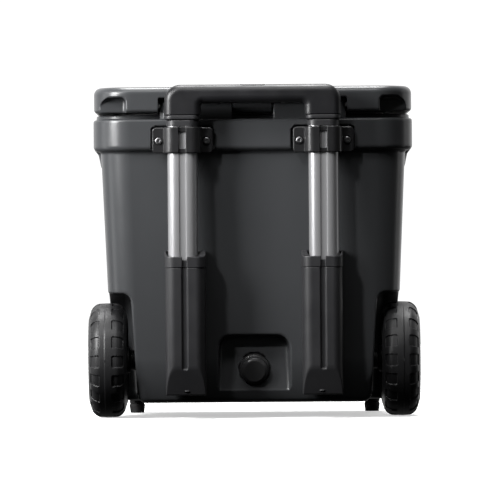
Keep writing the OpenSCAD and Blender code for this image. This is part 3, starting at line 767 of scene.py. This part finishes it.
pair("latch", latch_shape, LATCH_LOW, LATCH_HIGH, 1 * MM, "latch", "latch_{}")


# ---- tubes of the handle


def oval_outline(width, depth, groove_half, groove_depth, steps=14):
    """Outline of an oval tube with a shallow channel down the middle of both faces."""
    flat = (width - depth) / 2
    r = depth / 2
    soft = 0.8 * MM
    turns = np.linspace(-math.pi / 2, math.pi / 2, steps)
    right = [(flat + r * math.cos(a), r * math.sin(a)) for a in turns]
    channel = [
        (groove_half + soft, r),
        (groove_half + soft * 0.3, r - groove_depth * 0.15),
        (groove_half - soft * 0.3, r - groove_depth * 0.85),
        (groove_half - soft, r - groove_depth),
    ]
    back = channel + [(-x, y) for x, y in reversed(channel)]
    left = [(-x, -y) for x, y in right]
    front = [(-x, -y) for x, y in back]
    return right + back + left + front


def oval_tube(name, node, groove_depth, body_name):
    """A drawn tube in the place of its CAD node, with softened ends."""
    low, high = corners(node)
    mid_x = (low[0] + high[0]) / 2
    mid_y = (low[1] + high[1]) / 2
    width, depth = high[0] - low[0], high[1] - low[1]
    groove = 5 * MM * width / (45 * MM)
    outer = oval_outline(width, depth, groove, groove_depth)
    inner = oval_outline(width - 2 * TUBE_WALL, depth - 2 * TUBE_WALL, groove, groove_depth)
    soft = 0.4 * MM
    levels = [low[2] + soft, *np.linspace(low[2] + 2 * soft, high[2] - 2 * soft, 12), high[2] - soft]

    def ring(outline, z, shrink=0.0):
        centre = 1 - shrink / (depth / 2)
        return [(mid_x + x * centre, mid_y + y * centre, z) for x, y in outline]

    rings = [
        ring(outer, low[2], soft),
        *[ring(outer, z) for z in levels],
        ring(outer, high[2], soft),
        ring(inner, high[2], -soft / 2),
        ring(inner, high[2] - soft),
        ring(inner, low[2] + soft),
        ring(inner, low[2], -soft / 2),
    ]
    n = len(outer)
    points = [p for r in rings for p in r]
    faces = []
    for k in range(len(rings)):
        a, b = k * n, ((k + 1) % len(rings)) * n
        faces += [(a + i, a + (i + 1) % n, b + (i + 1) % n, b + i) for i in range(n)]
    piece = new_object(name, points, faces)
    piece.data.shade_smooth()
    piece.data.set_sharp_from_angle(angle=math.radians(38))
    place(piece, "rail", body_name, node)


for side in ("left", "right"):
    oval_tube("rail_tube_" + side, "rail_" + side, 1.1 * MM, "cooler")
    oval_tube("middle_tube_" + side, "mid_tube_" + side, 0.7 * MM, "mid_stage")
    oval_tube("inner_tube_piece_" + side, "inner_tube_" + side, 0.5 * MM, "grip_stage")


def tube_clear(x, y, width, depth, gap):
    """Distance to the space that an oval tube of that size needs."""
    return oval(x - TUBE_X, y - TUBE_Y, width + 2 * gap, depth + 2 * gap)


def neck_shape(x, y, z):
    """Bush that stands on the collar and fills the gap between rail and middle tube."""
    form = tube_clear(x, y, NECK_HIGH[0] - NECK_LOW[0], NECK_HIGH[1] - NECK_LOW[1], 0)
    form = both(form, band(z, COLLAR_HIGH[2] + 0.3 * MM, NECK_HIGH[2]), 1 * MM)
    form = cut(form, both(tube_clear(x, y, RAIL_W, RAIL_D, 0.05 * MM), z - RAIL_HIGH[2]))
    return cut(form, tube_clear(x, y, MID_W, MID_D, 0.3 * MM), 0.4 * MM)


def bush_shape(x, y, z):
    """Top ring of the middle tube: a lip as wide as the grip leg, tapered down to the tube."""
    taper = 2.5 * MM * smooth(-z, -BUSH_LOW[2] - 2.5 * MM, -BUSH_LOW[2])
    width = BUSH_HIGH[0] - BUSH_LOW[0] + 9 * MM
    depth = BUSH_HIGH[1] - BUSH_LOW[1] + 4 * MM
    form = plate(x - TUBE_X, y - TUBE_Y, width / 2, depth / 2, 11 * MM) + taper
    form = both(form, band(z, BUSH_LOW[2], BUSH_HIGH[2]), 1.6 * MM)
    form = cut(form, both(tube_clear(x, y, MID_W, MID_D, 0.05 * MM), z - MID_HIGH[2]))
    return cut(form, tube_clear(x, y, INNER_W, INNER_D, 0.3 * MM), 0.4 * MM)


pair("neck", neck_shape, NECK_LOW, NECK_HIGH, 0.7 * MM, "bracket")
pair("mid_bush", bush_shape, BUSH_LOW - 5 * MM, BUSH_HIGH + 5 * MM, 0.7 * MM, "bracket", "mid_stage")


# ---- grip


def grip_shape(x, y, z):
    """Bridge-shaped grip: a bar and two legs, with the button's pocket and the tubes' sockets."""
    half = GRIP_HIGH[0] + 2.5 * MM
    leg_in = GRIP_HIGH[0] - 52 * MM
    top = GRIP_HIGH[2] + GRIP_RISE
    drop = 60 * MM
    gap = 0.3 * MM
    u = np.abs(x)
    outline = plate(u, z - top + drop, half, drop, 24 * MM)
    opening = plate(u, z - BAR_LOW + drop, leg_in, drop, 4 * MM)
    outline = cut(outline, opening)
    form = both(outline, np.abs(y - GRIP_Y) - GRIP_HALF_Y, GRIP_ROUNDING)
    form = both(form, GRIP_LOW[2] - z, 1 * MM)
    pocket = plate(x, y - GRIP_Y, BUTTON_HALF_X + gap, BUTTON_HALF_Y + gap, 5.3 * MM)
    form = cut(form, both(pocket, BUTTON_LOW[2] - 4 * MM - z), 0.7 * MM)
    form = cut(form, both(tube_clear(u, y, INNER_W, INNER_D, 0.05 * MM), z - INNER_HIGH[2]))
    well = both(disc(u - GRIP_SCREW_X, y - GRIP_Y, 4.4 * MM), z - BAR_LOW - 3.2 * MM)
    return cut(form, well, 0.6 * MM)


whole("grip_piece", grip_shape, GRIP_LOW, GRIP_HIGH + 3 * MM, 1.1 * MM, 0.5,
      "grip", "grip_stage", "grip")


def button_shape(x, y, z):
    """Thumb button: its top follows the rounding of the grip around it, a little proud."""
    v = y - BUTTON_Y
    form = plate(x, v, BUTTON_HALF_X, BUTTON_HALF_Y, 5 * MM)
    crown = both(z - GRIP_HIGH[2] - GRIP_RISE - 0.3 * MM, np.abs(v) - GRIP_HALF_Y, GRIP_ROUNDING)
    form = both(form, crown, 0.8 * MM)
    form = both(form, BUTTON_LOW[2] - z, 0.3 * MM)
    # fine ribs for the thumb
    ribs = 0.2 * MM * (1 + np.cos(x * (2 * math.pi / (3.2 * MM)))) * smooth(crown, -1 * MM, 0)
    form = form + ribs * smooth(-np.abs(x), -16 * MM, -13 * MM)
    return cut(form, both(disc(x, v, 5 * MM), z - BUTTON_LOW[2] - 5 * MM))


button_high = BUTTON_HIGH + 1 * MM
whole("button_piece", button_shape, BUTTON_LOW, button_high, 0.6 * MM, 0.6,
      "button", "release_button", "release_button")


# ---- brackets and sockets


def collar_shape(x, y, z):
    """Bracket on the rim: a round barrel over the rail between two ears, with a window."""
    low_z, high_z = COLLAR_LOW[2], COLLAR_HIGH[2]
    back = RIM_BACK - 0.05 * MM
    front = COLLAR_LOW[1]
    u = x - TUBE_X
    ear = plate(u, z - COLLAR_Z, 45 * MM, COLLAR_HALF_Z, 5 * MM)
    ear = both(ear, band(y, back - 12 * MM, back), 1.6 * MM)
    barrel = plate(u, y - (front + back + 20 * MM) / 2, 28 * MM, (back + 20 * MM - front) / 2, 15 * MM)
    barrel = both(barrel, band(z, low_z - 0.5 * MM, high_z + 0.5 * MM), 2 * MM)
    form = either(ear, barrel, 1 * MM)
    form = both(form, y - back, 0.3 * MM)
    # channel that carries on the rail's, above and below the window
    channel = both(np.abs(u) - 5.6 * MM, y - front - 3 * MM, 0.3 * MM)
    form = cut(form, channel, 0.5 * MM)
    window = plate(u, z - COLLAR_Z + 0.5 * MM, 4.9 * MM, 12.4 * MM, 1.5 * MM)
    form = cut(form, both(window, y - front - 12 * MM), 0.4 * MM)
    for dx in (-SCREW_DX, SCREW_DX):
        seat = both(disc(u - dx, z - SCREW_Z, 6 * MM), y - back + 11 * MM, 0.4 * MM)
        form = cut(form, seat, 0.5 * MM)
    return cut(form, tube_clear(x, y, RAIL_W, RAIL_D, 0.1 * MM), 0.5 * MM)


# the record has one slot for all brackets, but the collars are a darker moulding
for collar in pair("collar", collar_shape, COLLAR_LOW, COLLAR_HIGH, 0.9 * MM, "bracket"):
    dress(collar, "collar")


def socket_outline(x, y, grow=0.0):
    """Rounded block that reaches back into the wall, and the channel down its front."""
    mid_x = (SOCKET_LOW[0] + SOCKET_HIGH[0]) / 2
    front = SOCKET_FRONT - grow
    back = RIM_BACK + 40 * MM
    u = x - mid_x
    form = plate(u, y - (front + back) / 2, 30 * MM + grow, (back - front) / 2, 15 * MM)
    trough = both(np.abs(u - 1 * MM) - 3.4 * MM, y - front - TROUGH_DEPTH, 0.6 * MM)
    return form, trough


def socket_shape(x, y, z):
    """Socket that holds the lower end of a rail."""
    form, trough = socket_outline(x, y)
    low_z = SOCKET_LOW[2]
    front = SOCKET_FRONT
    trough = both(trough, low_z + 38 * MM - z, 3 * MM)
    form = cut(form, trough, 2.5 * MM)
    # the foot is cut back on a slope
    slope_y, slope_z = 13 * MM, 41 * MM
    size = math.hypot(slope_y, slope_z)
    foot = ((front - y) * slope_z + (low_z + slope_z - z) * slope_y) / size
    form = both(form, foot, 1.2 * MM)
    form = both(form, z - SOCKET_HIGH[2], 0.7 * MM)
    form = both(form, low_z - z, 1.5 * MM)
    # small raised bead near the bottom
    bead_y = front + slope_y * (1 - 6 * MM / slope_z)
    across, out, up = x - TUBE_X + 4.5 * MM, y - bead_y, z - low_z - 6 * MM
    bead = np.sqrt((across / 4) ** 2 + (out / 1.6) ** 2 + (up / 1.3) ** 2)
    form = either(form, bead * 1.3 - 1.3 * MM, 0.3 * MM)
    form = cut(form, both(tube_clear(x, y, RAIL_W, RAIL_D, 0.05 * MM), RAIL_LOW[2] - z))
    return cut(form, wall(x, y, z) - 0.05 * MM, 0.3 * MM)


def ring_shape(x, y, z):
    """Top ring of a socket, dished towards the front."""
    form, trough = socket_outline(x, y, 0.7 * MM)
    form = cut(form, trough, 1 * MM)
    front = SOCKET_FRONT
    top = RING_HIGH[2] - 8.5 * MM * smooth(-y, -front - 22 * MM, -front - 4 * MM)
    form = both(form, z - top, 1.4 * MM)
    form = both(form, RING_LOW[2] - z, 0.5 * MM)
    mouth = both(tube_clear(x, y, RAIL_W, RAIL_D, 3.0 * MM), top - 6 * MM - z, 2 * MM)
    form = cut(form, mouth, 0.8 * MM)
    form = cut(form, tube_clear(x, y, RAIL_W, RAIL_D, 0.1 * MM), 0.3 * MM)
    return cut(form, wall(x, y, z) - 0.05 * MM, 0.3 * MM)


pair("socket", socket_shape, SOCKET_LOW - 2 * MM, SOCKET_HIGH, 1.2 * MM, "bracket", keep=0.4)
pair("socket_ring", ring_shape, RING_LOW - 3 * MM, RING_HIGH + 3 * MM, 0.9 * MM, "bracket")


# ---- wheels

POCKETS = 18
POCKET_PHASE = math.radians(0.6)
SEAM_X = 224 * MM
SPOKES = 6
AXLE_BORE = 8.05 * MM


def round_axle(y, z):
    """Radius and angle about the wheel's axle."""
    return np.hypot(y - AXLE_Y, z - AXLE_Z), np.arctan2(z - AXLE_Z, y - AXLE_Y)


def tyre_shape(x, y, z):
    """Domed sides, a wide round shoulder and two rows of shallow pockets."""
    radius, angle = round_axle(y, z)
    crown = 2.5 * MM * ((x - TYRE_X) / (30 * MM)) ** 2
    dome = 0.3 * (radius - HUB_R)
    side = np.maximum(x - TYRE_HIGH[0] - 0.5 * MM, TYRE_LOW[0] + 1 * MM - x) + dome
    form = both(radius - TYRE_R + crown, side, 10 * MM)
    form = both(form, HUB_R - radius + 0.05 * MM, 0.6 * MM)
    pitch = 2 * math.pi / POCKETS
    along = (np.mod(angle - POCKET_PHASE + pitch / 2, pitch) - pitch / 2) * TYRE_R
    row = np.minimum(band(x, 232.5 * MM, 260 * MM), band(x, 196.5 * MM, 213.8 * MM))
    pocket = both(row, np.abs(along) - 9 * MM, 2 * MM)
    pocket = both(pocket, TYRE_R - 13 * MM - radius)
    depth = 1.8 * MM
    form = cut(form, both(pocket, -form - depth, 0.4 * MM), 0.4 * MM)
    seam = np.hypot(x - SEAM_X, radius - TYRE_R + crown)
    return np.where(seam < 3 * MM, either(form, seam - 0.2 * MM, 0.5 * MM), form)


def hub_shape(x, y, z):
    """Hub: rim, boss and a web with six windows and six ribbed spokes."""
    radius, angle = round_axle(y, z)
    rim = both(radius - HUB_R, HUB_R - 6 * MM - radius, 0.5 * MM)
    rim = both(rim, band(x, TYRE_LOW[0] + 3 * MM, TYRE_HIGH[0] - 3 * MM), 2 * MM)
    boss = both(radius - 20 * MM, band(x, HUB_LOW[0], HUB_HIGH[0]), 3 * MM)
    web_x = TYRE_X + 12 * MM + 4 * MM * smooth(radius, 20 * MM, HUB_R)
    web = both(np.abs(x - web_x) - 3.2 * MM, radius - HUB_R + 3 * MM, 0.5 * MM)
    form = either(either(rim, web, 4 * MM), boss, 5 * MM)
    # windows between the spokes
    turn = 2 * math.pi / SPOKES
    part = np.mod(angle, turn) - turn / 2
    u = radius * np.cos(part)
    v = radius * np.sin(part)
    window = plate(u - 39.5 * MM, v, 11 * MM, 6 * MM + (u - 28 * MM) * 0.32, 5 * MM)
    form = cut(form, both(window, np.abs(x - web_x) - 12 * MM), 1.5 * MM)
    # a rib down the middle of each spoke
    rib_turn = np.mod(angle + turn / 2, turn) - turn / 2
    rib = both(np.abs(radius * np.sin(rib_turn)) - 2 * MM, band(x, web_x - 12 * MM, web_x + 5 * MM), 1 * MM)
    rib = both(rib, both(radius - HUB_R + 4 * MM, 18 * MM - radius))
    form = either(form, rib, 2 * MM)
    return cut(form, radius - 8.1 * MM, 0.8 * MM)


pair("tyre", tyre_shape, TYRE_LOW, TYRE_HIGH, 1.2 * MM, "tyre", "wheel_{}")
pair("hub", hub_shape, HUB_LOW, HUB_HIGH, 1.1 * MM, "hub", "wheel_{}")


def cap_shape(x, y, z):
    """Domed cap pressed on the axle's end."""
    radius, _ = round_axle(y, z)
    face = CAP_HIGH[0] + 3 * MM - (radius / (15 * MM)) ** 2 * 1.5 * MM
    form = both(radius - 15 * MM, band(x, CAP_LOW[0], face), 1 * MM)
    return cut(form, both(radius - AXLE_BORE, x - AXLE_HIGH[0]))


def spacer_shape(x, y, z):
    """Washer-like spacer between the body and the hub."""
    radius, _ = round_axle(y, z)
    form = both(radius - 15 * MM, band(x, SPACER_LOW[0], SPACER_HIGH[0]), 1 * MM)
    return cut(form, radius - AXLE_BORE, 0.4 * MM)


pair("axle_cap", cap_shape, CAP_LOW, CAP_HIGH + 4 * MM, 0.7 * MM, "hub")
pair("spacer", spacer_shape, SPACER_LOW, SPACER_HIGH, 0.8 * MM, "bracket")


# ---- drain


def plug_shape(x, y, z):
    """Round cap on a flange: a broad bevel round a flat face, and a stem that fills the drain."""
    along, off = drain_depth(x, y, z)
    back = 10.1 * MM
    face = 26 * MM
    stem = both(off - 10.95 * MM, band(along, back - 16 * MM, back + 1 * MM), 0.5 * MM)
    flange = both(off - 22.4 * MM, band(along, back, back + 3 * MM), 1 * MM)
    bevel = (off - 15.6 * MM) * 0.6 + (along - face) * 0.8
    cap = both(both(bevel, off - 20.5 * MM, 1.5 * MM), band(along, back, face), 0.5 * MM)
    return either(either(stem, flange), cap, 1.5 * MM)


def fitting_shape(x, y, z):
    """Ring and tube through the body's wall."""
    along, off = drain_depth(x, y, z)
    ring = both(off - 22.7 * MM, band(along, -4.9 * MM, 8 * MM), 1 * MM)
    tube = both(off - 15 * MM, band(along, -25 * MM, 6 * MM), 0.8 * MM)
    form = either(ring, tube)
    return cut(form, off - 11 * MM, 0.5 * MM)


plug_low, plug_high = corners("drain_plug")
plug_low -= (0, 6 * MM, 3 * MM)
whole("drain_plug_piece", plug_shape, plug_low, plug_high, 0.8 * MM, 0.5,
      "drain", "drain_plug", "drain_plug")
fit_low, fit_high = corners("drain_fitting")
whole("drain_fitting_piece", fitting_shape, fit_low, fit_high, 0.9 * MM, 0.5,
      "drain", "cooler", "drain_fitting")


# ---- small parts


def gasket_shape(x, y, z):
    """Ring under the lid, with two soft lips."""
    half_x = (GASKET_HIGH[0] - GASKET_LOW[0]) / 2
    half_y = (GASKET_HIGH[1] - GASKET_LOW[1]) / 2
    mid_y = (GASKET_HIGH[1] + GASKET_LOW[1]) / 2
    low_z = LIP_TOP + 0.3 * MM
    high_z = LID_BASE
    width = 8 * MM
    centre = plate(x, y - mid_y, half_x - width / 2, half_y - width / 2, 46 * MM)
    form = plate(centre, z - (low_z + high_z) / 2, width / 2, (high_z - low_z) / 2, 1.2 * MM)
    groove = disc(centre, z - low_z, 1.2 * MM)
    return cut(form, groove, 0.4 * MM)


def screw_shape(radius, height, shank_r, shank_h):
    """Screw along z with its head from 0 to height: a low dome with a hexagon socket."""

    def shape(x, y, z):
        off = np.hypot(x, y)
        dome = height * (1 - 0.3 * (off / radius) ** 2)
        head = both(off - radius, both(-z, z - dome, 0), 0.5 * MM)
        form = either(head, both(off - shank_r, band(z, -shank_h, 0.5 * MM), 0.4 * MM), 0.2 * MM)
        flats = [np.abs(x * math.cos(a) + y * math.sin(a)) for a in (0, math.pi / 3, 2 * math.pi / 3)]
        socket = np.maximum(np.maximum(flats[0], flats[1]), flats[2]) - 0.48 * radius
        return cut(form, both(socket, 0.35 * height - z), 0.15 * MM)

    return shape


def copies(piece, name, places):
    """One mesh with a copy of the piece's mesh at each matrix; the piece itself goes."""
    mesh = piece.data
    points = points_of(mesh)
    faces = [tuple(p.vertices) for p in mesh.polygons]
    normals = normals_of(mesh)
    all_points, all_faces, all_normals = [], [], []
    for k, matrix in enumerate(places):
        turn = np.array(matrix.to_3x3())
        all_points.append(points @ turn.T + np.array(matrix.translation))
        all_faces += [tuple(v + k * len(points) for v in f) for f in faces]
        all_normals.append(normals @ turn.T)
    bpy.data.objects.remove(piece)
    joined = new_object(name, np.concatenate(all_points), all_faces)
    joined.data.shade_smooth()
    joined.data.normals_split_custom_set(np.concatenate(all_normals).tolist())
    return joined


def screws(name, node, body, size, places):
    """A set of equal screws; size is head radius, head height, shank radius and shank length."""
    radius, height, shank_r, shank_h = size
    reach = max(radius, shank_r)
    low, high = (-reach, -reach, -shank_h), (reach, reach, height)
    one = moulded(name + "_one", screw_shape(*size), low, high, 0.35 * MM, 0.5)
    place(copies(one, name, places), "dark_screw", body, node)


def foot_shape(x, y, z):
    """Round rubber foot with a ribbed edge and a countersunk middle."""
    off = np.hypot(x - FOOT_X, y - FOOT_Y)
    taper = 1 * MM * smooth(-z, -12 * MM, 0)
    form = both(off - FOOT_R + taper, band(z, FOOT_LOW[2], FOOT_HIGH[2]), 1 * MM)
    groove = np.hypot(off - FOOT_R + taper, z - 14 * MM) - 1 * MM
    form = cut(form, groove, 0.5 * MM)
    return cut(form, both(off - 6.5 * MM, z - 8 * MM), 0.5 * MM)


one_foot_low = (FOOT_X - FOOT_R, FOOT_LOW[1], FOOT_LOW[2])
one_foot = moulded("foot_one", foot_shape, one_foot_low, FOOT_HIGH, 0.9 * MM, 0.5)
feet = copies(one_foot, "rubber_feet", [Matrix.Identity(4), Matrix.Translation((-2 * FOOT_X, 0, 0))])
place(feet, "foot", "cooler", "feet")

gasket_high = GASKET_HIGH + 3 * MM
whole("lid_gasket_piece", gasket_shape, GASKET_LOW, gasket_high, 1.1 * MM, 0.5,
      "gasket", "lid", "lid_gasket")

facing_back = Matrix.Rotation(math.radians(90), 4, "X")
facing_down = Matrix.Rotation(math.radians(180), 4, "X")
screw_low, _ = corners("collar_screws")
spots = [side * TUBE_X + dx for side in (-1, 1) for dx in (-SCREW_DX, SCREW_DX)]
spots = [Matrix.Translation((x, screw_low[1] + 3 * MM, SCREW_Z)) @ facing_back for x in spots]
screws("collar_screw_set", "collar_screws", "cooler", (5 * MM, 3 * MM, 2.5 * MM, 15 * MM), spots)

_, screw_high = corners("grip_screws")
spots = [(x, TUBE_Y, screw_high[2] - 1 * MM) for x in (-GRIP_SCREW_X, GRIP_SCREW_X)]
spots = [Matrix.Translation(spot) @ facing_down for spot in spots]
screws("grip_screw_set", "grip_screws", "grip_stage", (4 * MM, 2.4 * MM, 2 * MM, 1 * MM), spots)

screw_low, screw_high = corners("foot_screws")
head = 3 * MM
spots = [Matrix.Translation((x, FOOT_Y, screw_low[2] + head)) @ facing_down for x in (-FOOT_X, FOOT_X)]
foot_screw = (6 * MM, head, 2.5 * MM, screw_high[2] - screw_low[2] - head)
screws("foot_screw_set", "foot_screws", "cooler", foot_screw, spots)


# ---- floor, light and camera


def lamp(name, kind, energy, location, target, size=None):
    """A light that points at the target; size is an area light's width and height."""
    light = bpy.data.lights.new(name, kind)
    light.energy = energy
    if size:
        light.shape = "RECTANGLE"
        light.size, light.size_y = size
    unit = bpy.data.objects.new(name, light)
    bpy.context.scene.collection.objects.link(unit)
    unit.location = location
    unit.rotation_euler = (Vector(target) - Vector(location)).to_track_quat("-Z", "Y").to_euler()
    return unit


def studio_floor():
    """Wide pale floor. It glows a little and lights nothing else, so that shadows on it stay soft."""
    n = Nodes("studio_paper")
    n.feed("Base Color", n.blend(n.noise(3.0), (0.90, 0.90, 0.90), (0.93, 0.93, 0.93)))
    n.feed("Roughness", n.ramp(n.noise(120.0), 0.3, 0.7, 0.75, 0.9))
    n.shader.inputs["Emission Color"].default_value = (1, 1, 1, 1)
    n.shader.inputs["Emission Strength"].default_value = 0.5
    half, steps = 6.0, 48
    xs = np.linspace(-half, half, steps)
    points = [(x, y, FLOOR_Z) for y in xs for x in xs]
    faces = [
        (j * steps + i, j * steps + i + 1, (j + 1) * steps + i + 1, (j + 1) * steps + i)
        for j in range(steps - 1)
        for i in range(steps - 1)
    ]
    ground = new_object("studio_floor", points, faces)
    ground.data.materials.append(n.material)
    ground.visible_diffuse = False
    ground.visible_glossy = False


def studio_sky():
    """White behind the cooler, fading to a dark studio on the camera's side and below the floor."""
    world = bpy.data.worlds.new("studio")
    bpy.context.scene.world = world
    world.use_nodes = True
    tree = world.node_tree
    sky = tree.nodes["Background"]
    direction = tree.nodes.new("ShaderNodeTexCoord")
    parts = tree.nodes.new("ShaderNodeSeparateXYZ")
    tree.links.new(direction.outputs["Generated"], parts.inputs[0])

    def fade(axis, *limits):
        node = tree.nodes.new("ShaderNodeMapRange")
        for key, number in zip(RANGE_INPUTS, limits):
            node.inputs[key].default_value = number
        tree.links.new(parts.outputs[axis], node.inputs["Value"])
        return node

    backwards = fade("Y", 0.2, 0.9, 0.03, 1.1)
    backwards.interpolation_type = "SMOOTHSTEP"
    downwards = fade("Z", -0.25, -0.06, 0.1, 1.0)
    product = tree.nodes.new("ShaderNodeMath")
    product.operation = "MULTIPLY"
    tree.links.new(backwards.outputs["Result"], product.inputs[0])
    tree.links.new(downwards.outputs["Result"], product.inputs[1])
    tree.links.new(product.outputs["Value"], sky.inputs["Strength"])
    sky.inputs["Color"].default_value = (1, 1, 1, 1)


studio_floor()
studio_sky()

middle = (-0.05, -0.2, 0.22)
overhead = lamp("overhead", "SUN", 4.0, (0, 0.8, 3), (0, 0, 0))
overhead.data.angle = math.radians(30)
pool = lamp("pool", "SPOT", 350, (-1.0, -1.9, 1.75), (0.03, -0.2, 0.29))
pool.data.spot_size = math.radians(6.8)
pool.data.spot_blend = 1.0
pool.data.shadow_soft_size = 0.2
lamp("key", "AREA", 24, (-0.95, -0.72, 0.75), middle, (0.35, 0.6))
lamp("left_strip", "AREA", 2.4, (-1.2, -0.15, 0.4), middle, (0.3, 1.4))
lamp("right_strip", "AREA", 0.8, (1.3, 0.2, 0.4), middle, (0.2, 1.2))
lamp("top_strip", "AREA", 8, (-0.1, -0.9, 1.6), middle, (1.2, 0.3))

lens = bpy.data.cameras.new("camera")
camera = bpy.data.objects.new("camera", lens)
bpy.context.scene.collection.objects.link(camera)
camera.location = (-0.0040, -8.2, 0.2493)
camera.rotation_euler = (math.radians(90), math.radians(0.42), 0)
lens.lens = 385
bpy.context.scene.camera = camera
bpy.context.scene.view_settings.view_transform = "Standard"
